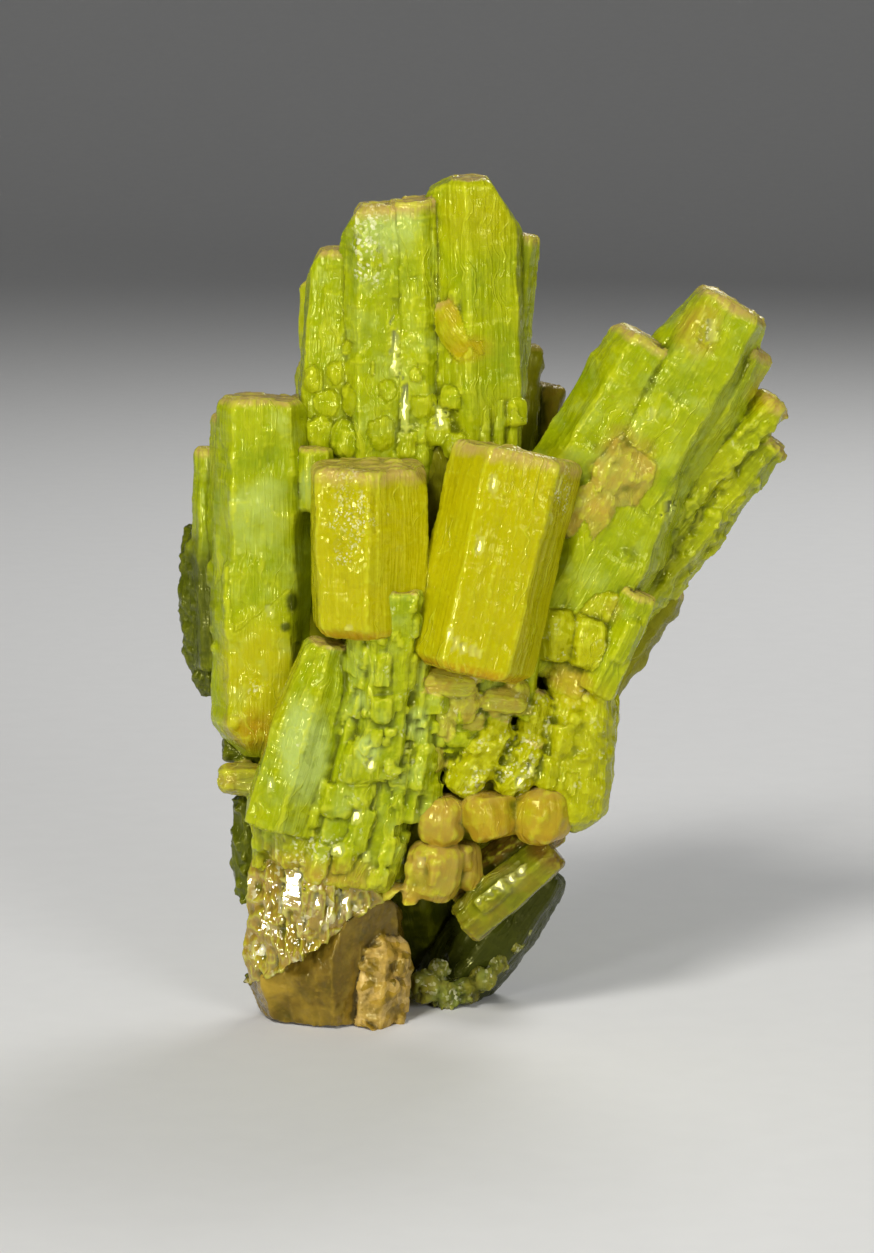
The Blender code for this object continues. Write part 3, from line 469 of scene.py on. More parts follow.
LOOKS = {
    "smooth": look(STEPS, THREADS, WAVES, tip=0.8, pale=0.15),
    "ribbed": look(PANELS, RIBS, STEPS, striae=0.03, pale=0.12),
    "frosty": look(PANELS, THREADS, STEPS, striae=0.018, terraces=0.03, grain=0.02, swell=0.07,
                   glitter=0.25, tip=1.2, chips=8, pale=0.22),
    "tall": look(THREADS, RIBS, striae=0.03, tip=0.15, chips=4, soft=1, gold=0.12),
    "broad": look(STEPS, striae=0.012, swell=0.09, pits=0.02, soft=3, pale=0.2),
    "mottled": look(STEPS, THREADS, grain=0.025, swell=0.12, pits=0.02, glitter=0.15, tip=0.9,
                    soft=4, pale=0.2),
    "body": look(STEPS, LUMPS, striae=0.015, swell=0.12, pits=0.02, tip=0, soft=4, pale=0.15),
    "golden": look(WAVES, THREADS, caps=1.0, striae=0.025, terraces=0.015, grain=0.014,
                   glitter=0.12, tip=1.3, foot=0.7, chips=12, bevel=0.9, soft=4, gold=0.9),
    "blocky": look(BRICKS, SMALL_BRICKS, THREADS, striae=0.03, grain=0.02, glitter=0.42, tip=0.2,
                   soft=0, pale=0.22),
    "leaning": look(RIBS, THREADS, STEPS, caps=0.6, striae=0.035, glitter=0.3, tip=0.3, soft=1,
                    pale=0.2),
    # The olive of this look is painted shade: the dark of the shaded left side.
    "rough": look(CRUMBS, LUMPS, terraces=0.04, grain=0.06, swell=0.1, pits=0.05, tip=0, olive=1),
    "granular": look(CRUMBS, STEPS, terraces=0.03, grain=0.045, swell=0.1, pits=0.02, glitter=0.3,
                     tip=0.9, chips=8, gold=0.2),
    "knob": look(caps=0, striae=0.006, terraces=0.008, grain=0.03, swell=0.12, tip=1.1, foot=1.8,
                 bevel=0, soft=3, gold=0.6, tan=0.5, orange=0.35),
    "pale_knob": look(caps=0, striae=0.006, terraces=0.01, grain=0.03, swell=0.12, glitter=0.15,
                      tip=3.4, foot=1.1, bevel=0, pale=0.25, tan=0.65),
    "tan_knob": look(caps=0, striae=0.01, terraces=0.01, grain=0.03, swell=0.16, tip=0.7, bevel=0,
                     soft=6, gold=0.6, orange=0.3),
    "mound": look(caps=0, striae=0.01, terraces=0.03, grain=0.03, swell=0.09, glitter=0.3, tip=0,
                  bevel=0, gold=0.15, pale=0.1),
    "crust": look(CRUMBS, CHIPS, caps=0.6, grain=0.05, glitter=0.75, tip=0, soft=0, pale=0.42,
                  olive=0.35, tan=0.35),
    "hidden": look(STEPS, CRUMBS, grain=0.03, tip=0.6, gold=0.4),
    "far_tip": look(STEPS, CRUMBS, grain=0.03, tip=0.6, pale=0.5, tan=0.7),
    # Painted shade: dark brown for the filler crystal in the dark gap behind the knobs.
    "recess_shade": look(LUMPS, caps=0.4, grain=0.05, swell=0.1, tip=0, brown=0.9),
    "pale_block": look(STEPS, caps=0.5, grain=0.02, glitter=0.5, tip=0, chips=8, bevel=1, soft=1,
                       pale=0.5, tan=0.55),
    "rusty": look(STEPS, THREADS, caps=0.5, glitter=0.25, tip=1.2, foot=0.3, chips=3, soft=1,
                  olive=0.6, tan=0.45, orange=0.2),
    "barrel": look(STEPS, LUMPS, caps=0, striae=0.012, grain=0.04, swell=0.12, glitter=0.45, tip=0,
                   bevel=0, gold=0.5, tan=0.1),
    "patch": look(LUMPS, CRUMBS, grain=0.04, swell=0.15, glitter=0.2, tip=0, chips=10, bevel=1.5,
                  soft=5, pale=0.55, tan=0.6),
    "lumpy": look(LUMPS, STEPS, caps=0.4, grain=0.035, swell=0.1, glitter=0.45, tip=0, gold=0.55),
    "glittering": look(RIBS, CRUMBS, caps=0.9, striae=0.03, terraces=0.04, grain=0.05, glitter=0.65,
                       tip=0.2, chips=8, gold=0.6),
    "root": look(caps=0, striae=0.01, terraces=0.03, grain=0.06, swell=0.16, folds=0.19, pits=0.03,
                 glitter=0.72, tip=0, soft=1, tan=0.8, brown=0.48),
    "low_stem": look(BRICKS, LUMPS, grain=0.03, folds=0.08, glitter=0.45, tip=0, soft=1, pale=0.2,
                     tan=0.25),
    # The next two looks are painted shade: dark olive for crystals that stand in shadow.
    "shade": look(STEPS, CRUMBS, grain=0.03, tip=0.3, olive=0.9),
    "in_shadow": look(STEPS, grain=0.03, tip=0, olive=1),
    "core": look(caps=0, grain=0.08, swell=0.15, pits=0.05, tip=0, gold=0.35),
    "back": look(PANELS, RIBS, STEPS, FLAT_BRICKS, caps=1.5, striae=0.04, terraces=0.03, grain=0.02,
                 swell=0.09, tip=0.8, chips=11, gold=0.15, pale=0.15),
    "rock": look(caps=0.3, striae=0, grain=0.02, swell=0.08, folds=0.04, pits=0.03, tip=0, chips=2,
                 soft=1, tan=0.2),
    "ochre": look(CHIPS, STEPS, caps=0.5, striae=0, terraces=0.05, grain=0.02, swell=0.06,
                  pits=0.03, glitter=0.4, tip=0, chips=12, soft=0, orange=0.55),
}
# The crystals whose look isn't the usual one of their piece.
UNUSUAL = {
    "smooth": "central_left central_right_rib left_shoulder left_outer_thin",
    "frosty": "central_front_left central_front_middle",
    "tall": "central_tall",
    "tan_knob": "central_knob",
    "broad": "left_upper",
    "body": "left_lower right_body",
    "rough": "left_outer_rough",
    "granular": "left_link right_third right_outer",
    "leaning": "left_pale_block stem_leaning",
    "mottled": "right_first right_second",
    "patch": "right_tan_upper right_tan_lower",
    "ribbed": "right_low_rib front_rib",
    "lumpy": "right_low_end right_lump_upper right_lump_lower barrel_lump_upper "
             "barrel_lump_lower barrel_lump_left",
    "barrel": "lower_right_barrel lower_right_edge",
    "blocky": "front_right_stem",
    "glittering": "glitter_long glitter_tip glitter_low",
    "pale_block": "left_peg",
    "shade": "left_peg_shade left_low_shade back_foot",
    "rusty": "tilted_prism",
    "recess_shade": "knob_shade",
    "low_stem": "stem_low",
    "in_shadow": "shade_prism",
    "hidden": "central_shade right_shade",
    "far_tip": "central_far_tip",
    "pale_knob": "pale_knob pale_knob_right pale_knob_small pale_knob_top round_knob_left",
    "ochre": "rock_right",
}
LOOK_OF = {name: key for key, names in UNUSUAL.items() for name in names.split()}
LOOK_OF |= {crystal.name: "mound" for crystal in MOUNDS}

# Places with a tone or a glitter of their own: centre, reach and strength. Some paint shade and
# some paint highlights, as noted below.
PATCHES = {
    # Pale patches. Painted highlights and reflections: on the lens facet and the blocks of the stem
    # and on the upper face of the tilted prism. On the broad face of the left sheaf a painted sheen
    # over a milky zone. The pale block on the left and the top of the central sheaf are milky
    # zones.
    "pale": (
        ((-3.8, -2.4, 23.2), (2.2, 1.6, 2.8), 0.55),
        ((-1.3, -2.0, 24.6), (0.9, 1.3, 1.2), 0.8),
        ((-1.7, -4.2, 13.2), (1.4, 2.2, 3.0), 1.0),
        ((1.1, -4.0, 13.3), (0.8, 2.0, 0.9), 0.9),
        ((0.9, -3.6, 15.4), (0.7, 2.0, 0.9), 0.8),
        ((3.2, -3.6, 14.4), (0.9, 2.0, 1.1), 0.8),
        ((-0.5, -3.0, 18.0), (0.6, 2.0, 1.0), 0.9),
        ((2.0, -3.0, 18.6), (0.8, 2.0, 1.3), 0.7),
        ((2.0, -2.2, 36.0), (2.4, 1.6, 2.0), 0.7),
        ((7.3, -2.6, 7.0), (1.2, 1.2, 0.8), 0.9),
    ),
    "gold": (
        ((-3.8, -2.4, 16.0), (3.0, 2.4, 3.4), 0.8),
        ((10.4, -2.6, 15.6), (2.4, 1.6, 1.6), 0.8),
        ((6.0, -1.5, 36.5), (2.6, 2.0, 2.4), 0.5),
    ),
    # Two are painted shade: under the lower end of the left sheaf and under the knob near the top
    # of the central sheaf. The third is orange on an end of the right sheaf.
    "orange": (
        ((-4.2, -2.2, 13.4), (2.4, 2.0, 1.5), 0.6),
        ((18.6, -0.4, 28.8), (1.5, 2.0, 1.5), 0.4),
        ((5.6, -2.0, 30.8), (1.3, 1.2, 1.0), 0.4),
    ),
    # Painted shade: along the shaded left side, in two pits left of the golden prisms, on a small
    # crystal low at the left and in the recesses below the right golden prism.
    "olive": (
        ((-6.7, 1.2, 18.5), (1.7, 2.8, 4.6), 1.0),
        ((-2.3, -2.0, 19.4), (0.35, 1.4, 0.6), 1.0),
        ((-2.6, -2.0, 18.3), (0.3, 1.4, 0.3), 1.0),
        ((-4.6, 0.4, 8.0), (1.6, 2.0, 3.0), 0.7),
        ((8.0, -1.0, 16.4), (1.4, 1.4, 1.6), 0.8),
    ),
    # The first is painted shade in the dark gap below the right golden prism; the others are the
    # brown of the root and of the tilted prism's end.
    "brown": (
        ((5.6, -2.2, 14.6), (1.6, 1.2, 1.8), 0.6),
        ((-1.6, -2.0, 3.6), (4.0, 4.6, 2.0), 0.5),
        ((9.3, -1.6, 8.2), (1.4, 1.6, 1.3), 1.0),
    ),
    "tan": (
        ((12.0, -2.6, 19.0), (0.9, 1.2, 1.2), 0.4),
        ((10.3, -2.4, 16.0), (1.8, 1.4, 1.1), 0.6),
        ((12.4, -2.6, 25.6), (1.9, 1.6, 2.3), 0.6),
        ((15.6, -2.6, 31.6), (1.6, 2.0, 1.8), 0.5),
        ((-1.6, -3.0, 7.2), (4.6, 3.4, 1.8), 0.65),
        ((4.6, -2.0, 32.2), (0.9, 1.2, 1.3), 0.4),
        ((-3.6, -2.0, 2.4), (1.8, 2.6, 2.4), 0.7),
        ((-0.8, -2.6, 0.6), (3.2, 2.4, 0.8), 0.4),
    ),
    # Glitter patches: smoother, more broken facets, and white specks painted as glints.
    "glitter": (
        ((-1.0, -3.4, 8.6), (3.6, 2.0, 1.2), 0.8),
        ((1.1, -1.8, 35.4), (1.5, 1.6, 2.9), 1.0),
        ((0.4, -5.2, 23.6), (1.5, 2.4, 3.0), 1.0),
        ((8.0, -3.0, 12.0), (1.2, 1.2, 0.8), 1.0),
        ((-4.0, -2.4, 15.6), (1.2, 1.0, 1.0), 0.9),
        ((16.0, -2.8, 31.4), (0.8, 1.4, 0.8), 1.0),
        ((9.6, -4.6, 24.6), (1.0, 1.6, 1.8), 0.9),
    ),
}

# Small facets that are level and turned half-way to the window light, for each piece: their place
# from the front, to the right and up, half width, and height against width.
GLINTS = {
    "central": (
        (4.3, 27.6, 0.22, 2), (2.3, 30.5, 0.14, 6), (2.7, 28.2, 0.14, 6), (1.9, 34.8, 0.12, 2),
    ),
    "golden": (
        (4.7, 18.7, 0.11, 2.2), (4.95, 18.3, 0.13, 1.8), (5.3, 18.05, 0.15, 1.3),
        (5.65, 17.95, 0.12, 1.8), (5.95, 17.85, 0.1, 1.5), (6.0, 22.6, 0.13, 2.2),
        (6.6, 25.2, 0.13, 2.6), (9.5, 25.1, 0.14, 1.6), (9.2, 23.6, 0.12, 1.6),
        (0.3, 18.9, 0.12, 1),
    ),
    "right": (
        (16.2, 31.6, 0.2, 1.6), (14.6, 23.3, 0.28, 1.6), (13.6, 27.9, 0.12, 1.6),
    ),
    "left": (
        (-3.3, 19.0, 0.12, 1.6),
    ),
    "lower": (
        (7.8, 11.5, 0.18, 1.6), (8.3, 12.0, 0.16, 1.6),
    ),
    "stem": (
        (-0.6, 18.0, 0.14, 1.6), (1.2, 12.6, 0.16, 1.6), (0.6, 10.2, 0.16, 1.6),
        (-3.3, 8.5, 0.2, 2.4), (-0.3, 8.6, 0.2, 1), (1.0, 8.2, 0.14, 1.5), (-3.2, 11.6, 0.12, 2.4),
        (2.8, 13.2, 0.12, 1.5),
    ),
    "root": (
        (-2.3, 6.6, 0.28, 3), (-1.9, 5.0, 0.18, 1.6), (-0.6, 7.2, 0.18, 1.6), (0.0, 5.9, 0.2, 2.5),
        (-1.2, 6.2, 0.15, 2.5), (-3.2, 4.6, 0.15, 1.5), (-4.3, 6.6, 0.16, 1.6),
        (0.9, 6.9, 0.14, 2.5),
    ),
    "knobs": (
        (5.9, 6.15, 0.18, 1), (6.4, 6.5, 0.2, 1), (6.9, 6.8, 0.2, 1), (7.4, 7.1, 0.2, 1),
        (7.9, 7.35, 0.16, 1), (3.4, 7.9, 0.14, 1.5),
    ),
}

# crystals, their usual look, mesh: fine where it is seen closely, medium at the back and coarse
# inside. material: the finish that it has.
Piece = namedtuple("Piece", "name crystals look mesh material")
PIECES = {
    "central": Piece("central_sheaf", CENTRAL_SHEAF, "ribbed", "fine", "waxy lime crystal"),
    "left": Piece("left_sheaf", LEFT_SHEAF, "ribbed", "fine", "waxy lime crystal"),
    "golden": Piece("golden_prisms", GOLDEN_PRISMS, "golden", "fine", "clear golden crystal"),
    "right": Piece("right_sheaf", RIGHT_SHEAF, "mottled", "fine", "waxy lime crystal"),
    "lower": Piece("lower_cluster", LOWER_CLUSTER, "pale_block", "fine", "waxy lime crystal"),
    "knobs": Piece("rounded_knobs", KNOBS, "knob", "fine", "resinous knob"),
    "stem": Piece("blocky_stem", STEM, "blocky", "fine", "waxy lime crystal"),
    "root": Piece("wrinkled_root", ROOT, "root", "fine", "glossy tan root"),
    "shade": Piece("shade_crystals", SHADE_CRYSTALS, "shade", "medium", "dark olive crystal"),
    "crust": Piece("granular_crust", CRUST, "crust", "fine", "dark olive crystal"),
    "back": Piece("back_crystals", BACK_CRYSTALS, "back", "medium", "waxy lime crystal"),
    "core": Piece("inner_crystals", CORE, "core", "coarse", "dark olive crystal"),
    "matrix": Piece("matrix_rock", MATRIX_LUMPS, "rock", "fine", "iron stained matrix"),
}


def frame_of(crystal):
    """The matrix from a crystal's own axes (x front, y right, z along it) to the specimen's."""
    foot, tip = Vector(crystal.foot), Vector(crystal.tip)
    axis = (tip - foot).normalized()
    front = (FRONT - axis * FRONT.dot(axis)).normalized()
    return basis(front, axis.cross(front), axis, foot)


def basis(first, second, third, point):
    """The matrix to a point, from axes that lie in these three directions."""
    return Matrix.Translation(point) @ Matrix((first, second, third)).transposed().to_4x4()


def length_of(crystal):
    return (Vector(crystal.tip) - Vector(crystal.foot)).length


def side_distances(crystal, chance):
    """How far each of the six sides stands from the axis: opposite sides are a pair."""
    spread = [chance.uniform(1 - SIDE_SPREAD, 1 + SIDE_SPREAD) for _ in range(SIDES)]
    return [crystal.across[side % 3] * spread[side] for side in range(SIDES)]


def facing(azimuth):
    """The direction straight out of the axis at an azimuth in degrees, in a crystal's own axes."""
    angle = math.radians(azimuth)
    return Vector((math.cos(angle), math.sin(angle), 0))


def sloping(out, along, tilt, point):
    """A plane through a point that leans from the direction along towards out by tilt degrees."""
    angle = math.radians(tilt)
    return (out * math.sin(angle) + along * math.cos(angle)).normalized(), point


def pillow_planes(crystal):
    """The (normal, point) planes that touch a pillow as wide and as long as a crystal."""
    chance = random.Random(crystal.name)
    half = length_of(crystal) / 2
    middle = UP * half
    wide = sum(crystal.across) / 3
    planes = []
    for tilt in PILLOW_TILTS:
        level = math.radians(tilt)
        for azimuth in range(0, 360, PILLOW_STEP):
            normal = facing(azimuth + tilt) * math.cos(level) + UP * math.sin(level)
            reach = (abs(wide * math.cos(level)) ** PILLOW_POWER
                     + abs(half * math.sin(level)) ** PILLOW_POWER) ** (1 / PILLOW_POWER)
            reach *= chance.uniform(*PILLOW_UNEVEN)
            planes.append((normal, middle + normal * reach))
    return planes


def prism_planes(crystal, bevel_share, chips):
    """The (normal, point) planes that bound a crystal, in its own axes: the two ends come first."""
    chance = random.Random(crystal.name)
    length = length_of(crystal)
    ends = (
        (-UP, 0.0, crystal.narrow[0], crystal.bevel[0]),
        (UP, length, crystal.narrow[1], crystal.bevel[1]),
    )
    waist = UP * length * WAIST
    planes = [(-UP, Vector()), (UP, UP * length)]
    for side, distance in enumerate(side_distances(crystal, chance)):
        out = facing(crystal.turn + side * SIDE_STEP)
        planes.append((out, out * distance))
        for along, height, narrow, bevel in ends:
            reach = abs(height - waist.z)
            if narrow < 1:
                lean = math.atan2(reach, distance * (1 - narrow))
                planes.append(sloping(out, along, math.degrees(lean), waist + out * distance))
            if bevel:
                inset = bevel_share * bevel * chance.uniform(1 - BEVEL_SPREAD, 1 + BEVEL_SPREAD)
                rim = out * (distance * narrow - inset) + UP * height
                planes.append(sloping(out, along, BEVEL_TILT, rim))
    for azimuth, tilt, inset in crystal.cuts:
        out = facing(azimuth)
        rim = out * (max(crystal.across) - inset) + UP * length
        planes.append(sloping(out, UP, tilt, rim))
    for number in range(chips):
        along, height, narrow, _ = ends[number % 2]
        out = facing(chance.uniform(0, 360))
        reach = sum(crystal.across) / 3 * narrow
        rim = out * (reach * chance.uniform(*CHIP_REACH)) + UP * height
        planes.append(sloping(out, along, chance.uniform(*CHIP_TILT), rim))
    return planes


def seam_planes(shift):
    """The space that the matrix fills, with each bounding plane moved out by shift."""
    across, back = SEAM_REACH
    angle = math.radians(SEAM_TILT)
    seam = Vector((-math.sin(angle), 0, math.cos(angle)))
    right = Vector((1, 0, 0))
    return [
        (seam, Vector(SEAM_POINT) + seam * shift),
        (right, right * (across + shift)),
        (-FRONT, -FRONT * (back + shift)),
    ]


def outside(point, planes):
    """How far a point stands out of the space behind every plane: below zero is inside."""
    return max((point - base).dot(normal) for normal, base in planes)


def limits_of(crystal, place):
    """What else bounds a crystal, in its own axes: its foot, and the seam with the matrix."""
    limits = [(-UP, Vector())]
    seam = seam_planes(SEAM_OVERLAP)
    if crystal in MATRIX_LUMPS:
        limits += seam
    elif outside(Vector(crystal.foot), seam) < 0:
        normal, base = seam_planes(-SEAM_OVERLAP)[0]
        limits.append((-normal, base))
    back = place.inverted()
    turn = back.to_3x3()
    return [((turn @ normal).normalized(), back @ base) for normal, base in limits]


def cut_block(planes, half_size):
    """A mesh of the space behind every plane: a block with one slice taken off for each."""
    solid = bmesh.new()
    bmesh.ops.create_cube(solid, size=2 * half_size)
    for normal, point in planes:
        everything = solid.verts[:] + solid.edges[:] + solid.faces[:]
        cut = bmesh.ops.bisect_plane(
            solid, geom=everything, plane_co=point, plane_no=normal, clear_outer=True
        )
        rim = [part for part in cut["geom_cut"] if isinstance(part, bmesh.types.BMEdge)]
        if rim:
            bmesh.ops.contextual_create(solid, geom=rim)
        bmesh.ops.remove_doubles(solid, verts=solid.verts[:], dist=SMALLEST_EDGE)
    bmesh.ops.recalc_face_normals(solid, faces=solid.faces[:])
    return solid


def add_prism(joined, half_width, length, place):
    """A small closed six-sided prism along its own z, with a sloping rim."""
    rim = min(RIM_SHARE * half_width, length / 4)
    parts = ((0, half_width, length - rim), (length - rim, half_width - rim, rim))
    for start, top_width, depth in parts:
        shift = Matrix.Translation((0, 0, start + (depth - length) / 2))
        bmesh.ops.create_cone(joined, cap_ends=True, cap_tris=False, segments=SIDES, depth=depth,
                              radius1=half_width, radius2=top_width, matrix=place @ shift)


def add_lump(joined, half_width, length, place):
    """A small rounded lump, longer along its own z."""
    size = Matrix.Diagonal((half_width, half_width, length / 2, 1))
    bmesh.ops.create_icosphere(joined, subdivisions=2, radius=1, matrix=place @ size)


def panels_of(crystal):
    """The flat halves of a crystal's six sides: (middle of the waist edge, normal, across, along,
    length, half width towards each neighbour, width at the far end against the waist)."""
    distances = side_distances(crystal, random.Random(crystal.name))
    length = length_of(crystal)
    waist = UP * length * WAIST
    corner = math.radians(SIDE_STEP)
    for side, distance in enumerate(distances):
        out = facing(crystal.turn + side * SIDE_STEP)
        across = UP.cross(out)
        reach = [
            (distances[(side + step) % SIDES] - distance * math.cos(corner)) / math.sin(corner)
            for step in (-1, 1)
        ]
        for height, narrow in zip((0.0, length), crystal.narrow):
            start = waist + out * distance
            end = out * distance * narrow + UP * height
            along = (end - start).normalized()
            normal = across.cross(along).normalized()
            if normal.dot(out) < 0:
                normal.negate()
            yield start, normal, across, along, (end - start).length, reach, narrow


def grow_layer(joined, crystal, layer, planes, place, chance):
    """Small bodies along the sides of a crystal, each kept to the panel that carries it."""
    usual_area = sum(layer.half_width) * sum(layer.length) / 2
    add_body, flat_reach = (add_lump, 1) if layer.rounded else (add_prism, FLAT_REACH)
    for start, normal, across, along, length, (low, high), narrow in panels_of(crystal):
        side_area = (low + high) * (1 + narrow) / 2 * length
        for _ in range(round(layer.cover * side_area / usual_area)):
            half = chance.uniform(*layer.half_width)
            span = min(chance.uniform(*layer.length), length)
            proud = chance.uniform(*layer.proud)
            middle = chance.uniform(0, length)
            share = 1 - (1 - narrow) * middle / length
            aside = chance.uniform(-low, high) * share
            lean = Matrix.Rotation(math.radians(chance.uniform(-layer.lean, layer.lean)), 3, normal)
            line, side = lean @ along, lean @ across
            sunk = proud - half * flat_reach
            base = start + across * aside + along * middle + normal * sunk
            edges = (side * half, -side * half, normal * -sunk)
            keep = [at for at in np.linspace(-span / 2, span / 2, STATIONS)
                    if max(outside(base + line * at + edge, planes) for edge in edges) < proud]
            if len(keep) < FEWEST_STATIONS:
                continue
            centre = base + line * (keep[0] + keep[-1]) / 2
            add_body(joined, half, keep[-1] - keep[0], place @ basis(normal, side, line, centre))


def grow_caps(joined, crystal, cover, planes, place, chance):
    """Small blocks on both ends of a crystal, which leave them stepped like the real ends."""
    length = length_of(crystal)
    reach = max(crystal.across)
    for height, narrow, direction in zip((0.0, length), crystal.narrow, (-1, 1)):
        for _ in range(round(cover * CAPS_TO_AREA * reach * reach * narrow)):
            half = chance.uniform(*CAP_HALF)
            proud = chance.uniform(*CAP_PROUD)
            spot = facing(chance.uniform(0, 360)) * reach * narrow * math.sqrt(chance.random())
            middle = spot + UP * (height - direction * (CAP_DEPTH / 2 - proud))
            top = spot + UP * (height + direction * proud)
            if outside(top, planes[2:]) < -CAP_INSET * half:
                turn = math.radians(crystal.turn + chance.uniform(0, SIDE_STEP))
                add_prism(joined, half, CAP_DEPTH, place @ Matrix.Translation(middle)
                          @ Matrix.Rotation(turn, 4, "Z"))


def grow_blocks(joined, crystal, place):
    """The larger blocks fused to a crystal's sides, which share its directions."""
    chance = random.Random(crystal.name + " blocks")
    length = length_of(crystal)
    for _ in range(crystal.blocks):
        side = chance.randrange(SIDES)
        half = chance.uniform(*BLOCK_HALF)
        height = chance.uniform(*BLOCK_LENGTH)
        proud = chance.uniform(*BLOCK_PROUD)
        distance = crystal.across[side % 3]
        edge = BLOCK_ASIDE * distance
        turned = Matrix.Rotation(math.radians(crystal.turn + side * SIDE_STEP), 4, "Z")
        aside = chance.uniform(-edge, edge)
        along = length * chance.uniform(*BLOCK_PLACES)
        spot = Matrix.Translation((distance + proud - half, aside, along))
        add_prism(joined, half / FLAT_REACH, height, place @ turned @ spot)


def look_of(crystal, piece):
    return LOOKS[LOOK_OF.get(crystal.name, piece.look)]


def bounds_of(crystal, piece):
    """Where a crystal stands, and every plane that bounds it as it is shown."""
    look = look_of(crystal, piece)
    place = frame_of(crystal)
    if look.bevel:
        planes = prism_planes(crystal, look.bevel, look.chips)
    else:
        planes = pillow_planes(crystal)
    return place, planes + limits_of(crystal, place)


def grow_piece(piece):
    """All the closed crystals of a piece with what grows on them, in one mesh, in millimetres."""
    joined = bmesh.new()
    for crystal in piece.crystals:
        look = look_of(crystal, piece)
        place, planes = bounds_of(crystal, piece)
        body = cut_block(planes, length_of(crystal) + 2 * max(crystal.across))
        bmesh.ops.transform(body, matrix=place, verts=body.verts[:])
        mesh = bpy.data.meshes.new("one_crystal")
        body.to_mesh(mesh)
        body.free()
        joined.from_mesh(mesh)
        bpy.data.meshes.remove(mesh)
        chance = random.Random(crystal.name + " growth")
        for layer in look.layers:
            grow_layer(joined, crystal, layer, planes, place, chance)
        grow_caps(joined, crystal, look.caps, planes, place, chance)
        grow_blocks(joined, crystal, place)
    mesh = bpy.data.meshes.new(piece.name)
    joined.to_mesh(mesh)
    joined.free()
    return mesh


def closed_skin(mesh, voxel):
    """One closed skin round everything in the mesh, made by a Remesh modifier."""
    rough = bpy.data.objects.new(mesh.name + "_grown", mesh)
    bpy.context.scene.collection.objects.link(rough)
    modifier = rough.modifiers.new("closed skin", "REMESH")
    modifier.mode = "VOXEL"
    modifier.voxel_size = voxel
    modifier.use_smooth_shade = True
    graph = bpy.context.evaluated_depsgraph_get()
    skin = bpy.data.meshes.new_from_object(rough.evaluated_get(graph))
    bpy.data.objects.remove(rough)
    bpy.data.meshes.remove(mesh)
    return skin


HASH_FACTORS = (73856093, 19349663, 83492791, 2654435761)
HASH_STIRS = ((0x2C1B3C6D, 15), (0x297A2D39, 12))


def hashed(*whole):
    """A repeatable number from 0 to 1 for each set of whole numbers."""
    mixed = np.zeros(1, np.uint32)
    for part, factor in zip(whole, HASH_FACTORS):
        mixed = mixed ^ (np.atleast_1d(part).astype(np.int64) * factor).astype(np.uint32)
        for stir, shift in HASH_STIRS:
            mixed = (mixed ^ (mixed >> np.uint32(shift))) * np.uint32(stir)
    return (mixed ^ (mixed >> np.uint32(15))) / 2**32


def soft_noise(x, y, z, seed):
    """Smooth noise from -1 to 1 with one lump to each unit."""
    cells = [np.floor(value).astype(np.int64) for value in (x, y, z)]
    blends = [value - cell for value, cell in zip((x, y, z), cells)]
    blends = [blend * blend * (3 - 2 * blend) for blend in blends]
    total = 0
    for corner in itertools.product((0, 1), repeat=3):
        weight = 1
        for step, blend in zip(corner, blends):
            weight = weight * (blend if step else 1 - blend)
        total = total + weight * hashed(*(cell + step for cell, step in zip(cells, corner)), seed)
    return total * 2 - 1


def lumps(points, size, seed):
    """Smooth noise from -1 to 1 at each point, with lumps of a size in millimetres."""
    return soft_noise(*(points / size).T, seed)


def two_lumps(points, sizes, seeds):
    """Lumps of two sizes, with a share of the second."""
    first, second, share = sizes
    return lumps(points, first, seeds[0]) + share * lumps(points, second, seeds[1])


def mosaic(u, v, size, seed):
    """Steps from -1 to 1, level within each cell of an uneven wall of blocks of a size."""
    level = seed + 0 * u
    first, second = MOSAIC_BENDS
    column = np.floor(u / size[0] + first * soft_noise(u, v / 2, level, 5))
    bend = second * soft_noise(u * 2, v, level, 9)
    row = np.floor(v / size[1] + MOSAIC_SHIFT * hashed(column, seed, 3) + bend)
    return hashed(column, row, seed) * 2 - 1


def smooth_step(edge, value):
    """0 up to the low end of an edge, 1 from its high end, and smooth between."""
    low, high = edge
    share = np.clip((value - low) / (high - low), 0, 1)
    return share * share * (3 - 2 * share)


def smoothed(values, edges, rounds):
    """Each vertex's values averaged with its neighbours', rounds times over."""
    count = len(values)
    degree = np.bincount(edges.ravel(), minlength=count)[:, None]
    for _ in range(rounds):
        total = np.empty_like(values)
        for column in range(values.shape[1]):
            there = np.bincount(edges[:, 0], values[edges[:, 1], column], count)
            total[:, column] = there + np.bincount(edges[:, 1], values[edges[:, 0], column], count)
        values = total / degree
    return values


def softened(points, edges, rounds):
    """Each vertex smoothed with its neighbours for its own number of rounds."""
    result = points.copy()
    done = 0
    for level in sorted(set(rounds)):
        points = smoothed(points, edges, level - done)
        done = level
        result[rounds == level] = points[rounds == level]
    return result


def read_mesh(mesh):
    """A mesh's points, normals and edges, a row for each."""
    points = np.empty((len(mesh.vertices), 3), np.float32)
    mesh.vertices.foreach_get("co", points.ravel())
    normals = np.empty_like(points)
    mesh.vertices.foreach_get("normal", normals.ravel())
    edges = np.empty((len(mesh.edges), 2), np.int32)
    mesh.edges.foreach_get("vertices", edges.ravel())
    return points.astype(np.float64), normals.astype(np.float64), edges


def write_skin(skin, points, masks):
    """Moves a skin's vertices, and writes each mask in an attribute of its own name."""
    skin.vertices.foreach_set("co", points.ravel())
    for name, values in masks.items():
        layer = skin.attributes.new(name, "FLOAT_VECTOR", "POINT")
        layer.data.foreach_set("vector", np.ascontiguousarray(values, np.float32).ravel())
    skin.update()


def in_own_axes(points, place):
    """Points of the specimen in the axes of a crystal that stands at place."""
    back = np.array(place.inverted())
    return points @ back[:3, :3].T + back[:3, 3]


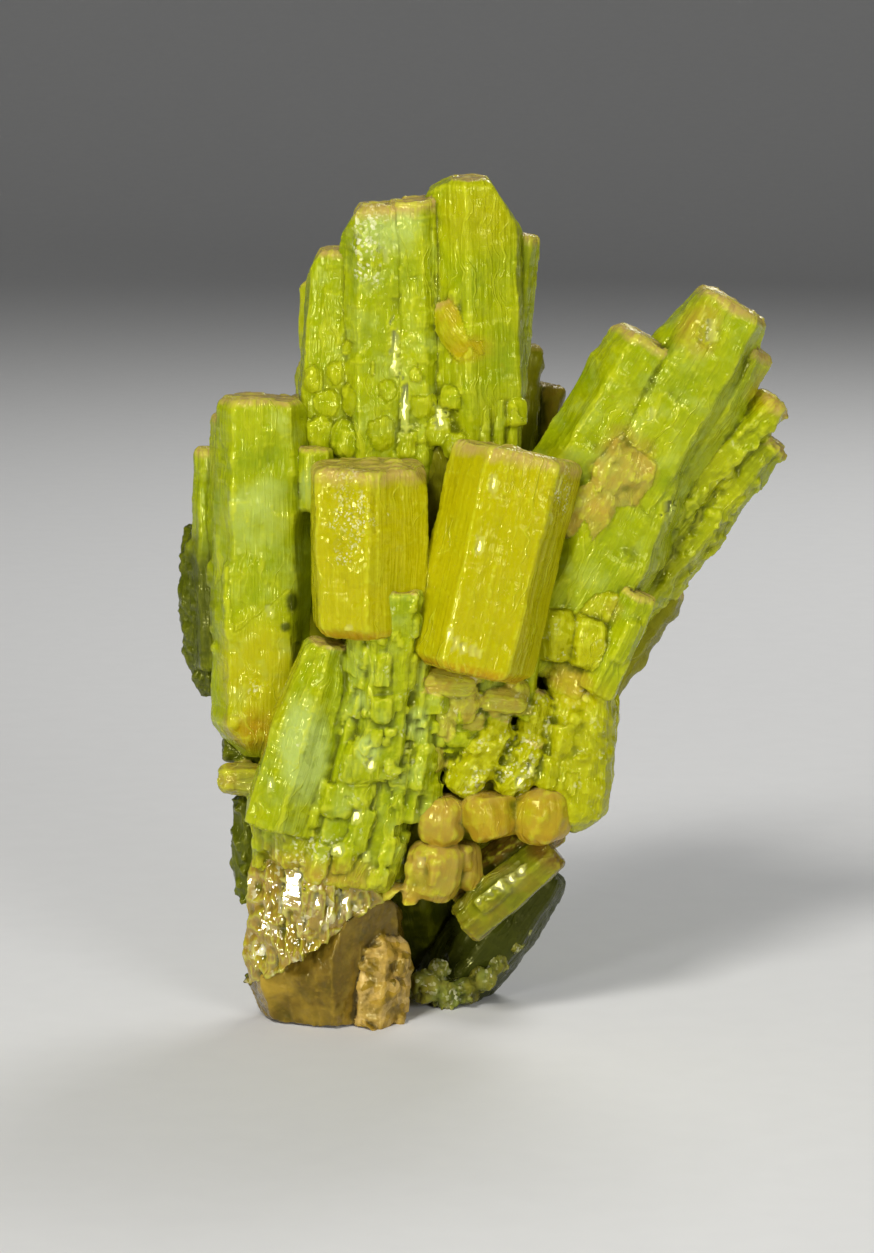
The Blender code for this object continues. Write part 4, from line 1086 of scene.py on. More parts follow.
def settle(points, piece):
    """For each vertex: the crystal it belongs to, that crystal's face and how far off it stands."""
    nearest = np.full(len(points), np.inf)
    owner = np.zeros(len(points), np.int32)
    face = np.zeros(len(points), np.int32)
    facing_out = np.zeros_like(points)
    share, more = OWN_REACH
    for number, crystal in enumerate(piece.crystals):
        place, planes = bounds_of(crystal, piece)
        normals = np.array([normal for normal, _ in planes])
        offsets = np.array([normal.dot(base) for normal, base in planes])
        middle = np.array((Vector(crystal.foot) + Vector(crystal.tip)) / 2)
        reach = length_of(crystal) / 2 + share * max(crystal.across) + more
        close = np.flatnonzero(((points - middle) ** 2).sum(1) < reach * reach)
        heights = in_own_axes(points[close], place) @ normals.T - offsets
        best = heights.argmax(1)
        height = heights[np.arange(len(close)), best]
        won = height < nearest[close]
        rows = close[won]
        nearest[rows] = height[won]
        owner[rows] = number
        face[rows] = best[won]
        facing_out[rows] = normals[best[won]] @ np.array(place.to_3x3()).T
    return nearest, owner, face, facing_out


def glint_normal(point):
    """The direction half-way from a place in millimetres to the window light and to the front."""
    to_light = (Vector(WINDOW_PLACE) - Vector(point) * MM).normalized()
    to_front = Vector((0, -math.cos(VIEW_HEIGHT), math.sin(VIEW_HEIGHT)))
    return np.array((to_light + to_front).normalized())


def cut_glints(points, normals, key):
    """Levels the small facets that catch the window light. Returns a mask of them."""
    gloss = np.zeros(len(points))
    ragged, bends = GLINT_RAGGED
    for x, z, half_width, tall in GLINTS.get(key, ()):
        aside = np.abs(points[:, 0] - x)
        away = np.maximum(aside, np.abs(points[:, 2] - z) / tall) / half_width
        away = away * (1 + ragged * lumps(points, bends, 41))
        close = np.flatnonzero((away < GLINT_EDGE[1]) & (normals[:, 1] < FACING_FRONT))
        if not len(close):
            continue
        deepest = points[close, 1].min() + GLINT_DEPTH * half_width * tall
        close = close[points[close, 1] < deepest]
        centre = points[close].mean(0)
        normal = glint_normal(centre)
        share = 1 - smooth_step(GLINT_EDGE, away[close])
        points[close] += np.outer(((centre - points[close]) @ normal) * share, normal)
        gloss[close] = share
    return gloss


def fine_relief(look, u, v, seed, on_end, spot):
    """How far the surface rises at each vertex, in millimetres. u and v run round and along a
    crystal, and on_end is 1 on its end faces. The blocks of each crystal come from its seed."""
    level = seed + 0 * u
    first, second, share = STRIA_SIZES
    lines = (soft_noise(u / first[0], v / first[1], level, 1)
             + share * soft_noise(u / second[0], v / second[1], level, 2))
    ribs = mosaic(u, v, RIB_SIZE, seed)
    rise = look.striae * (1 - on_end) * (LINE_SHARE * lines + ribs * RIB_SHARE)
    first, second, share = TERRACE_SIZES
    terraces = mosaic(u, v, first, seed + 50) + share * mosaic(v, u, second, seed + 90)
    rise = rise + look.terraces * terraces
    rise = rise + look.grain * two_lumps(spot, GRAIN_SIZES, (4, 6))
    rise = rise + look.swell * two_lumps(spot, SWELL_SIZES, (11, 12))
    rise = rise + END_STEPS * on_end * mosaic(u, v, END_STEP_SIZE, seed + 20)
    if look.folds:
        width, length = FOLD_SIZE
        bend = soft_noise(u, v / length, level, 14)
        fold = np.abs(soft_noise(u / width + bend, v / length, level, 13))
        width, length = WRINKLE_SIZE
        wrinkle = np.abs(soft_noise(u / width, v / length, level, 15))
        top, deep, shallow = FOLD_HEIGHTS
        rise = rise + look.folds * (top - deep * fold - shallow * wrinkle)
    if look.pits:
        rise = rise - look.pits * smooth_step(PIT_EDGE, lumps(spot, PIT_SIZE, 8))
    return rise


def dress_crystals(points, piece, owner, face):
    """For each vertex: its rise, where it lies on its crystal, its tones, and its tip, foot and
    glitter masks. The foot mask is for the painted shade on the underside."""
    rise = np.zeros(len(points))
    grown = np.zeros_like(points)
    tone = np.zeros((len(points), len(TONES)))
    tip, foot, glitter = np.zeros((3, len(points)))
    for number, crystal in enumerate(piece.crystals):
        rows = np.flatnonzero(owner == number)
        if not len(rows):
            continue
        look = look_of(crystal, piece)
        own = in_own_axes(points[rows], frame_of(crystal))
        on_end = (face[rows] < 2).astype(float)
        round_axis = np.arctan2(own[:, 1], own[:, 0]) * sum(crystal.across) / 3
        u = np.where(on_end > 0, own[:, 0], round_axis)
        v = np.where(on_end > 0, own[:, 1], own[:, 2])
        seed = len(piece.name) * SEED_STEP + number
        rise[rows] = fine_relief(look, u, v, seed, on_end, points[rows])
        grown[rows] = np.stack((u, v, np.full(len(rows), seed * GROWN_STEP)), 1)
        tone[rows] = look.tones
        glitter[rows] = look.glitter
        if look.tip:
            below = length_of(crystal) - own[:, 2]
            tip[rows] = TIP_STRENGTH * (1 - smooth_step((0, look.tip), below))
        # The foot band is painted shade: orange on the underside of each crystal.
        if look.foot:
            foot[rows] = 1 - smooth_step((0, look.foot), own[:, 2])
    return rise, grown, tone, tip, foot, glitter


def add_patches(points, tone, glitter):
    """Lays the patches over the tones and the glitter."""
    for name, patches in PATCHES.items():
        mask = glitter if name == "glitter" else tone[:, TONES.index(name)]
        for centre, reach, strength in patches:
            away = np.sqrt((((points - centre) / reach) ** 2).sum(1))
            mask[:] = np.maximum(mask, strength * (1 - smooth_step(PATCH_EDGE, away)))


def stands_out(points, base, normals):
    """How far each point stands out of a smoother base."""
    return ((points - base) * normals).sum(1)


def dress_skin(skin, piece, key):
    """Gives a closed skin its relief, and the masks and directions that the materials read."""
    points, normals, edges = read_mesh(skin)
    warp = [two_lumps(points, WARP_SIZES, (seed, seed + 5)) for seed in WARP_SEEDS]
    nearest, owner, face, facing_out = settle(points, piece)
    flat = np.abs(nearest) < FLAT_GAP
    points[flat] -= facing_out[flat] * nearest[flat, None] * FLAT_DRAW
    softness = np.array([look_of(crystal, piece).soft for crystal in piece.crystals])
    points = softened(points, edges, softness[owner])
    smoother = smoothed(points, edges, RIDGE_ROUNDS[0])
    ridge = smooth_step(SHARP_RIDGE, stands_out(points, smoother, normals))
    rise, grown, tone, tip, foot, glitter = dress_crystals(points, piece, owner, face)
    chipped = lumps(points, CHIPPED_SIZE, 31) * 0.5 + 0.5
    rise -= CHIPPED_DEPTH * ridge * smooth_step(CHIPPED_EDGE, chipped)
    points += normals * rise[:, None] + WARP * np.stack(warp, 1)
    gloss = cut_glints(points, normals, key)
    points[:, 2] = np.maximum(points[:, 2], 0)
    add_patches(points, tone, glitter)
    # The ridges and the hollows found here are painted: a highlight on the edges, shade in the
    # hollows.
    near_mean = smoothed(points, edges, RIDGE_ROUNDS[1])
    wide_mean = smoothed(near_mean, edges, HOLLOW_ROUNDS)
    ridge = smooth_step(PALE_RIDGE, stands_out(points, near_mean, normals))
    hollow_shade = smooth_step(DEEP_HOLLOW, stands_out(wide_mean, points, normals))
    write_skin(skin, points * MM, {
        "grown": grown,
        "tone_first": tone[:, :3],
        "tone_second": tone[:, 3:],
        "ends": np.stack((tip, foot, glitter), 1),
        "wear": np.stack((ridge, hollow_shade, gloss), 1),
    })


def add_piece(context, key):
    """Grows, closes, dresses and colours one piece, and lets it ride with the specimen."""
    piece = PIECES[key]
    sizes = context.scene.specimen_sizes
    voxel = getattr(sizes, piece.mesh + "_mesh") / MM
    skin = closed_skin(grow_piece(piece), voxel)
    dress_skin(skin, piece, key)
    made = bpy.data.objects.new(piece.name, skin)
    context.scene.collection.objects.link(made)
    skin.materials.append(material_named(piece.material, context.scene.specimen_colours))
    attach(made, "root")
    if key == "matrix":
        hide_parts("matrix_stub")
    else:
        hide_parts("pyromorphite_crystals")


def feed(tree, socket, value):
    """Joins a socket to another one, or sets its value."""
    if isinstance(value, bpy.types.NodeSocket):
        tree.links.new(value, socket)
    else:
        socket.default_value = value


def add_node(tree, kind, inputs=None, **settings):
    """A node with its settings made, and each input set to a value or joined to a socket."""
    node = tree.nodes.new(kind)
    for name, value in settings.items():
        setattr(node, name, value)
    for name, value in (inputs or {}).items():
        feed(tree, node.inputs[name], value)
    return node


def calculate(tree, operation, *values, clamp=False):
    node = add_node(tree, "ShaderNodeMath", dict(enumerate(values)), operation=operation)
    node.use_clamp = clamp
    return node.outputs[0]


def multiply(tree, first, second):
    return calculate(tree, "MULTIPLY", first, second)


def lift(tree, value, gain, start, clamp=False):
    """The value times gain, plus start, and kept from 0 to 1 where it is clamped."""
    return calculate(tree, "MULTIPLY_ADD", value, gain, start, clamp=clamp)


def vector_math(tree, operation, first, **second):
    """A calculation on vectors: the second is a vector, or the scale of the first."""
    node = add_node(tree, "ShaderNodeVectorMath", {0: first}, operation=operation)
    for name, value in second.items():
        feed(tree, node.inputs["Scale" if name == "scale" else 1], value)
    return node.outputs[0]


def noise(tree, place, scale, detail=2.0, roughness=0.5):
    """Smooth noise that varies about 0.5."""
    inputs = {"Vector": place, "Scale": scale, "Detail": detail, "Roughness": roughness}
    return add_node(tree, "ShaderNodeTexNoise", inputs).outputs[0]


def cells(tree, place, scale):
    """The random colour of the cell that each place lies in."""
    inputs = {"Vector": place, "Scale": scale}
    return add_node(tree, "ShaderNodeTexVoronoi", inputs).outputs["Color"]


def blend_colours(tree, share, first, second):
    """The first colour with a share of the second, from 0 to 1."""
    node = add_node(tree, "ShaderNodeMix", {0: share}, data_type="RGBA")
    for socket, colour in ((6, first), (7, second)):
        linked = isinstance(colour, bpy.types.NodeSocket)
        feed(tree, node.inputs[socket], colour if linked else (*colour, 1))
    return node.outputs[2]


def apart(tree, vector):
    """The three parts of a vector or of a colour."""
    return add_node(tree, "ShaderNodeSeparateXYZ", {0: vector}).outputs


def together(tree, *parts):
    return add_node(tree, "ShaderNodeCombineXYZ", dict(enumerate(parts))).outputs[0]


def attribute(tree, name):
    return add_node(tree, "ShaderNodeAttribute", attribute_name=name).outputs["Vector"]


def millimetres(tree):
    """Places on the object, counted in millimetres."""
    place = add_node(tree, "ShaderNodeTexCoord").outputs["Object"]
    return vector_math(tree, "SCALE", place, scale=1 / MM)


def new_group(name, inputs, outputs):
    """An empty shader group, and the sockets of its inside. Each input has its default, or None
    for a vector, and each output has its kind."""
    group = bpy.data.node_groups.new(name, "ShaderNodeTree")
    for label, default in inputs.items():
        kind = "NodeSocketVector" if default is None else "NodeSocketFloat"
        socket = group.interface.new_socket(name=label, in_out="INPUT", socket_type=kind)
        if default is not None:
            socket.default_value = default
    for label, kind in outputs.items():
        group.interface.new_socket(name=label, in_out="OUTPUT", socket_type="NodeSocket" + kind)
    entry = group.nodes.new("NodeGroupInput").outputs
    leave = group.nodes.new("NodeGroupOutput").inputs
    return group, entry, leave


def ragged_mask_group():
    """A mask whose edge is broken up by noise, as a stain or a zone of growth is."""
    group, entry, leave = new_group(
        "Ragged Mask",
        {"Mask": 0.0, "Place": None, "Size": 1.0, "Raggedness": 0.8, "Softness": 0.5},
        {"Mask": "Float"},
    )
    wander = noise(group, entry["Place"], entry["Size"], detail=3.0, roughness=0.6)
    wander = calculate(group, "SUBTRACT", wander, 0.5)
    wander = multiply(group, wander, entry["Raggedness"])
    shifted = calculate(group, "ADD", entry["Mask"], wander)
    shifted = calculate(group, "SUBTRACT", shifted, 0.5)
    shifted = calculate(group, "DIVIDE", shifted, entry["Softness"])
    group.links.new(calculate(group, "ADD", shifted, 0.5, clamp=True), leave["Mask"])
    return group


RIDGE_HEIGHT = 0.7
RIDGE_WIDTH = 0.035
RIDGE_BEND = (0.5, 1.8)  # scale of the wandering of the ridges, and how far it goes
RIDGE_SCALE = (1.5, 0.17)  # ridges to the millimetre, across and along
RIDGE_FADE = 0.33


def wavy_ridges(group, grown):
    """A mask of thin ridges that run along a crystal, wander, meet and die out."""
    u, v, seed = apart(group, grown)
    scale, reach = RIDGE_BEND
    bent = lift(group, noise(group, grown, scale), reach, u)
    across, along = RIDGE_SCALE
    lines = together(group, multiply(group, bent, across), multiply(group, v, along), seed)
    centred = calculate(group, "SUBTRACT", noise(group, lines, 1.0, detail=1.5), 0.5)
    off = calculate(group, "ABSOLUTE", centred)
    thin = lift(group, off, -1 / RIDGE_WIDTH, 1.0, clamp=True)
    fade = lift(group, noise(group, grown, RIDGE_FADE), gain=6.0, start=-2.7, clamp=True)
    return multiply(group, thin, fade)


def growth_lines_group():
    """The relief of growth lines along a crystal, and of the fainter steps across it."""
    group, entry, leave = new_group(
        "Growth Lines",
        {"Grown": None, "Lines": 9.0, "Steps": 5.0, "Step Share": 0.3},
        {"Height": "Float", "Ridges": "Float"},
    )
    heights = []
    for across, along, detail in ((entry["Lines"], 0.35, 2.0), (0.9, entry["Steps"], 1.0)):
        sizes = together(group, across, along, 1.0)
        place = vector_math(group, "MULTIPLY", entry["Grown"], by=sizes)
        heights.append(noise(group, place, 1.0, detail))
    lines, steps = heights
    ridges = wavy_ridges(group, entry["Grown"])
    stepped = lift(group, ridges, RIDGE_HEIGHT, multiply(group, steps, entry["Step Share"]))
    group.links.new(calculate(group, "ADD", lines, stepped), leave["Height"])
    group.links.new(ridges, leave["Ridges"])
    return group


GLINT_SPECKS_TO_FACETS = 2.3
GLINT_SPECK_CHOICE = (5.0, -3.4)  # gain and start that leave about a quarter of the specks, painted white as glints


def facet_glitter_group():
    """A normal tipped a little, level within each of many small facets, and a mask of specks that
    the materials paint white as glints.
    """
    group, entry, leave = new_group(
        "Facet Glitter",
        {"Place": None, "Normal": None, "Facets": 4.0, "Tilt": 0.3},
        {"Normal": "Vector", "Flakes": "Float"},
    )
    facets = cells(group, entry["Place"], entry["Facets"])
    centred = vector_math(group, "SUBTRACT", facets, by=(0.5,) * 3)
    tipped = vector_math(group, "SCALE", centred, scale=entry["Tilt"])
    summed = vector_math(group, "ADD", entry["Normal"], by=tipped)
    group.links.new(vector_math(group, "NORMALIZE", summed), leave["Normal"])
    fine = multiply(group, entry["Facets"], GLINT_SPECKS_TO_FACETS)
    specks = apart(group, cells(group, entry["Place"], fine))[2]
    group.links.new(lift(group, specks, *GLINT_SPECK_CHOICE, clamp=True), leave["Flakes"])
    return group


GROUPS = {
    "Ragged Mask": ragged_mask_group,
    "Growth Lines": growth_lines_group,
    "Facet Glitter": facet_glitter_group,
}


def use_group(tree, name, **inputs):
    """A group placed in a material with its own values, and made the first time it is used."""
    group = bpy.data.node_groups.get(name) or GROUPS[name]()
    return add_node(tree, "ShaderNodeGroup", inputs, node_tree=group).outputs


def stain(tree, colour, mask, tone, place, size, ragged, soft):
    """A colour with a tone laid over it where a mask is: size, raggedness and softness shape the
    mask's edge."""
    share = use_group(tree, "Ragged Mask", Mask=mask, Place=place, Size=size, Raggedness=ragged,
                      Softness=soft)[0]
    return blend_colours(tree, share, colour, tone)


# What sets one finish apart: roughness from and to, clearness (subsurface share), how deep light
# wanders in millimetres and how far each colour of it does, growth lines and facets to the
# millimetre, refraction, strength and tint of the shine, and how pale the wavy ridges are.
CRYSTAL_SPREAD = (1.0, 1.0, 0.15)
ROCK_SPREAD = (1.0, 0.7, 0.3)
YELLOW_SHINE = (1.0, 0.98, 0.35, 1.0)
BROWN_SHINE = (1.0, 0.86, 0.4, 1.0)
PALE_SHINE = (1.0, 0.94, 0.75, 1.0)
Finish = namedtuple("Finish", "rough clear depth lines facets index shine tint ridges spread",
                    defaults=(YELLOW_SHINE, 0.5, CRYSTAL_SPREAD))
FINISHES = {
    "waxy lime crystal": Finish((0.07, 0.28), 0.35, 0.45, 9.0, 3.6, 1.5, 0.4),
    "clear golden crystal": Finish((0.08, 0.26), 0.45, 0.7, 7.0, 5.5, 1.5, 0.35),
    "resinous knob": Finish((0.12, 0.32), 0.35, 0.5, 4.0, 2.2, 1.5, 0.4, YELLOW_SHINE, 0),
    "dark olive crystal": Finish((0.15, 0.4), 0.1, 0.4, 7.0, 3.0, 1.5, 0.25, YELLOW_SHINE, 0.15),
    "glossy tan root": Finish((0.04, 0.16), 0.1, 0.3, 5.0, 1.2, 1.8, 0.6, PALE_SHINE, 0.2),
    "iron stained matrix": Finish((0.08, 0.28), 0.1, 0.3, 3.0, 1.6, 1.5, 0.5, BROWN_SHINE, 0,
                                  ROCK_SPREAD),
}


def start_material(name):
    """A material with its Principled surface, and its node tree."""
    material = bpy.data.materials.new(name)
    material.use_nodes = True
    return material, material.node_tree, material.node_tree.nodes["Principled BSDF"]


def set_finish(surface, finish):
    """The values of a surface that are the same all over it."""
    for name, value in {
        "IOR": finish.index,
        "Specular IOR Level": finish.shine,
        "Specular Tint": finish.tint,
        "Subsurface Weight": finish.clear,
        "Subsurface Radius": finish.spread,
        "Subsurface Scale": finish.depth * MM,
    }.items():
        surface.inputs[name].default_value = value


def roughness_of(tree, finish, value, low=0.0, high=1.0):
    """The finish's roughness, from its low one where the value is low to its high one."""
    inputs = {"Value": value, "From Min": low, "From Max": high,
              "To Min": finish.rough[0], "To Max": finish.rough[1]}
    return add_node(tree, "ShaderNodeMapRange", inputs).outputs[0]


def add_bump(tree, surface, height, normal, strength, depth):
    """Fine relief, up to a depth in millimetres, on a surface that has this normal."""
    inputs = {"Height": height, "Normal": normal, "Strength": strength, "Distance": depth * MM}
    bump = add_node(tree, "ShaderNodeBump", inputs)
    tree.links.new(bump.outputs[0], surface.inputs["Normal"])


def paled(tree, colour, mask, strength, edge):
    """A colour with the pale tone of the painted edge highlight where the mask is, and less of it
    on olive crystal.
    """
    olive = apart(tree, attribute(tree, "tone_first"))[2]
    light = lift(tree, olive, gain=-0.85, start=1.0, clamp=True)
    share = multiply(tree, multiply(tree, mask, strength), light)
    return blend_colours(tree, share, colour, edge)


# How strongly the masks act on the crystals.
HOLLOW_SHADE_SHARE = 0.82
EDGE_HIGHLIGHT_SHARES = (0.5, 0.12)  # of the painted highlight on the edges: light crystal, dark crystal
GLITTER_SMOOTHS = 0.65  # how much of the roughness the glitter takes off
GLOSS_SMOOTHS = 0.8  # the same for the level facets that catch the window light
GLOSS_LEVELS = 0.65  # how much of the bump strength they take off
GLINT_FACET_PAINT = 0.12  # how much white is painted on them as a highlight
# how much white is painted on the specks as glints
GLINT_SPECK_PAINT = 0.8
FACET_TILT = (0.9, 0.05)  # gain with the glitter mask, and the least
BUMP_STRENGTH = 0.7
BUMP_DEPTH = 0.07


def crystal_colour(tree, place, colours, dark):
    """Body tones, end bands and stains, then the painted shade in the hollows and the painted
    highlight on the edges. The foot band is painted underside shade; some stains are painted shade,
    some painted highlights.
    """
    gold, pale, olive = apart(tree, attribute(tree, "tone_first"))
    tan, orange, brown = apart(tree, attribute(tree, "tone_second"))
    tip, foot, _ = apart(tree, attribute(tree, "ends"))
    ridge, hollow_shade, _ = apart(tree, attribute(tree, "wear"))
    cloudy = noise(tree, place, scale=0.45, detail=4.0, roughness=0.65)
    cloudy = lift(tree, cloudy, gain=2.4, start=-0.7, clamp=True)
    # On the dark olive crystals the body is the shade colour: painted shade for crystals in shadow.
    body = (colours.shade, colours.olive) if dark else (colours.lime, colours.green)
    colour = blend_colours(tree, cloudy, *body)
    deep = colours.shade if dark else colours.olive
    for mask, tone, *edge in (
        (gold, colours.gold, 0.5, 0.5, 0.9),
        (pale, colours.pale, 0.8, 1.1, 0.6),
        (tip, colours.tip, 1.1, 0.9, 0.5),
        # The foot band: painted shade on the underside.
        (foot, colours.orange, 0.9, 0.7, 0.7),
        (tan, colours.tan, 0.9, 0.9, 0.6),
        (orange, colours.orange, 0.9, 0.8, 0.7),
        (olive, deep, 0.7, 0.7, 0.8),
        (brown, colours.brown, 0.8, 0.9, 0.6),
    ):
        colour = stain(tree, colour, mask, tone, place, *edge)
    # Painted shade: the hollows darkened to the deep tone.
    colour = blend_colours(tree, multiply(tree, hollow_shade, HOLLOW_SHADE_SHARE), colour, deep)
    # Painted highlight: the edges paled where they stand out.
    return paled(tree, colour, ridge, EDGE_HIGHLIGHT_SHARES[dark], colours.edge)


def crystal_material(name, colours):
    """Translucent crystal: its colour, with painted shade, painted highlights and painted glints,
    its growth lines and its small facets.
    """
    finish = FINISHES[name]
    material, tree, surface = start_material(name)
    place = millimetres(tree)
    glitter = apart(tree, attribute(tree, "ends"))[2]
    gloss = apart(tree, attribute(tree, "wear"))[2]
    patchy = noise(tree, place, scale=1.3, detail=3.0)
    rough = roughness_of(tree, finish, patchy, low=0.35, high=0.65)
    rough = multiply(tree, rough, lift(tree, glitter, -GLITTER_SMOOTHS, 1.0))
    rough = multiply(tree, rough, lift(tree, gloss, -GLOSS_SMOOTHS, 1.0))
    tree.links.new(rough, surface.inputs["Roughness"])
    normal = add_node(tree, "ShaderNodeNewGeometry").outputs["Normal"]
    tilt = multiply(tree, lift(tree, glitter, *FACET_TILT), calculate(tree, "SUBTRACT", 1.0, gloss))
    faceted, glint_specks = use_group(tree, "Facet Glitter", Place=place, Normal=normal,
                                Facets=finish.facets, Tilt=tilt)
    # Painted glints: white specks where the glitter is strong, and a little white on the level
    # glint facets.
    clustered = lift(tree, patchy, gain=2.4, start=glitter)
    sparkling = lift(tree, clustered, gain=1.8, start=-3.3, clamp=True)
    white = multiply(tree, glint_specks, multiply(tree, sparkling, GLINT_SPECK_PAINT))
    white = calculate(tree, "MAXIMUM", white, multiply(tree, gloss, GLINT_FACET_PAINT))
    height, ridges = use_group(tree, "Growth Lines", Grown=attribute(tree, "grown"),
                               Lines=finish.lines)
    colour = crystal_colour(tree, place, colours, "dark" in name)
    colour = paled(tree, colour, ridges, finish.ridges, colours.edge)
    colour = blend_colours(tree, white, colour, colours.flake)
    tree.links.new(colour, surface.inputs["Base Color"])
    bumpy = lift(tree, gloss, -GLOSS_LEVELS, BUMP_STRENGTH)
    add_bump(tree, surface, height, faceted, bumpy, BUMP_DEPTH)
    set_finish(surface, finish)
    return material


# Painted shade in the rock's hollows and pits.
PIT_SHADE_COLOUR = (0.01, 0.007, 0.004)
PIT_SHADE_SHARE = 0.85
ROCK_RIDGE_SHARE = 0.25
GRAINS = 2.2  # ochre grains to the millimetre


def rock_material(name, colours):
    """Iron-stained matrix: brown with ochre grains, lighter tan on the ridges, and painted shade,
    near black, in the hollows and pits.
    """
    finish = FINISHES[name]
    material, tree, surface = start_material(name)
    place = millimetres(tree)
    tan, orange, _ = apart(tree, attribute(tree, "tone_second"))
    ridge, hollow_shade, _ = apart(tree, attribute(tree, "wear"))
    mottled = noise(tree, place, scale=1.1, detail=5.0, roughness=0.65)
    mottled = lift(tree, mottled, gain=2.0, start=-0.5, clamp=True)
    colour = blend_colours(tree, mottled, colours.matrix, colours.brown)
    colour = stain(tree, colour, tan, colours.tan, place, size=0.9, ragged=0.9, soft=0.7)
    grains = cells(tree, place, GRAINS)
    ochre = blend_colours(tree, apart(tree, grains)[1], colours.ochre, colours.orange)
    dark_grains = lift(tree, grains, gain=3.5, start=-2.3, clamp=True)
    ochre = blend_colours(tree, dark_grains, ochre, colours.matrix)
    colour = stain(tree, colour, orange, ochre, place, size=1.4, ragged=1.0, soft=0.3)
    # Painted shade: near black in the hollows and pits. Then the ridges are lightened to tan.
    colour = blend_colours(tree, multiply(tree, hollow_shade, PIT_SHADE_SHARE), colour, PIT_SHADE_COLOUR)
    colour = blend_colours(tree, multiply(tree, ridge, ROCK_RIDGE_SHARE), colour, colours.tan)
    tree.links.new(colour, surface.inputs["Base Color"])
    tree.links.new(roughness_of(tree, finish, mottled), surface.inputs["Roughness"])
    normal = add_node(tree, "ShaderNodeNewGeometry").outputs["Normal"]
    faceted = use_group(tree, "Facet Glitter", Place=place, Normal=normal, Facets=finish.facets,
                        Tilt=0.2)[0]
    height = noise(tree, place, scale=5.0, detail=5.0)
    add_bump(tree, surface, height, faceted, strength=0.35, depth=0.1)
    set_finish(surface, finish)
    return material


def material_named(name, colours):
    """The material of a finish, made the first time it is used."""
    made = bpy.data.materials.get(name)
    if made:
        return made
    return rock_material(name, colours) if "matrix" in name else crystal_material(name, colours)


def colour_property(name, description, default):
    return FloatVectorProperty(name=name, description=description, default=default, subtype="COLOR",
                               size=3, min=0, max=1)


def length_property(name, description, default):
    return FloatProperty(name=name, description=description, default=default, min=0.00005,
                         unit="LENGTH", precision=5)


class SpecimenSizes(bpy.types.PropertyGroup):
    """Mesh sizes, and the room round the specimen."""

    fine_mesh: length_property("Fine mesh", "Side of a face on the front crystals", 0.0001)
    medium_mesh: length_property("Medium mesh", "Side of a face on the back crystals", 0.00021)
    coarse_mesh: length_property("Coarse mesh", "Side of a face on the inner crystals", 0.00035)
    floor_size: length_property("Floor size", "Width and depth of the studio floor", 1.6)
    sweep_height: length_property("Sweep height", "Height of the backdrop behind the floor", 0.7)
    camera_distance: length_property("Camera distance", "From the camera to the specimen", 0.18795)
    camera_height: FloatProperty(name="Camera angle", description="How far the camera looks down",
                                 default=VIEW_HEIGHT, subtype="ANGLE")
    lens: FloatProperty(name="Lens", description="Focal length of the camera in millimetres",
                        default=120, min=10)


class SpecimenColours(bpy.types.PropertyGroup):
    """Colours of the crystals, the matrix and the floor; some of them also paint shade and
    highlights.
    """

    lime: colour_property("Lime", "Body of most crystals", (0.38, 0.415, 0.002))
    green: colour_property("Green", "Greener clouds in the body", (0.23, 0.30, 0.002))
    gold: colour_property("Gold", "Body of the golden prisms", (0.435, 0.39, 0.0015))
    # The pale green is also painted highlight and reflection in some of the pale patches.
    pale: colour_property("Pale green", "Milky zones", (0.41, 0.50, 0.10))
    # The olive is also painted shade: in the hollows, in pits and recesses, and on the shaded left
    # side.
    olive: colour_property("Olive", "Shaded crystals and hollows", (0.07, 0.085, 0.003))
    tip: colour_property("Tip", "Pinkish tan ends of the crystals", (0.47, 0.34, 0.085))
    tan: colour_property("Tan", "Tan stains and knobs", (0.42, 0.28, 0.03))
    # The orange is also painted shade on the undersides: in the foot bands and in two orange
    # patches.
    orange: colour_property("Orange", "Orange feet and undersides", (0.42, 0.25, 0.004))
    # The brown is also painted shade: a patch below the right golden prism and the filler crystal
    # behind the knobs.
    brown: colour_property("Brown", "Brown of the root", (0.18, 0.105, 0.010))
    # Painted shade: the dark body of the crystals that stand in shadow and in the dark hollows.
    shade: colour_property("Shade", "Crystals in the dark hollows", (0.035, 0.042, 0.004))
    # Painted highlight: the pale tone on the edges, also laid on the wavy ridges.
    edge: colour_property("Edge", "Pale worn edges", (0.54, 0.56, 0.02))
    # Painted highlight: the white of the painted glints.
    flake: colour_property("Flakes", "Small white facets", (0.82, 0.80, 0.50))
    matrix: colour_property("Matrix", "Iron-stained matrix", (0.075, 0.057, 0.005))
    ochre: colour_property("Ochre", "Ochre grains in the matrix", (0.66, 0.46, 0.15))
    floor: colour_property("Floor", "Studio floor and backdrop", (0.78, 0.78, 0.77))


class SPECIMEN_OT_central_sheaf(bpy.types.Operator):
    """Add the tall sheaf of ribbed crystals in the middle"""

    bl_idname = "specimen.central_sheaf"
    bl_label = "Central Sheaf"

    def execute(self, context):
        add_piece(context, "central")
        return {"FINISHED"}


class SPECIMEN_OT_left_sheaf(bpy.types.Operator):
    """Add the sheaf of broad crystals on the left"""

    bl_idname = "specimen.left_sheaf"
    bl_label = "Left Sheaf"

    def execute(self, context):
        add_piece(context, "left")
        return {"FINISHED"}


class SPECIMEN_OT_golden_prisms(bpy.types.Operator):
    """Add the two stout golden prisms at the front"""

    bl_idname = "specimen.golden_prisms"
    bl_label = "Golden Prisms"

    def execute(self, context):
        add_piece(context, "golden")
        return {"FINISHED"}


class SPECIMEN_OT_right_sheaf(bpy.types.Operator):
    """Add the sheaf that leans to the right"""

    bl_idname = "specimen.right_sheaf"
    bl_label = "Right Sheaf"

    def execute(self, context):
        add_piece(context, "right")
        return {"FINISHED"}


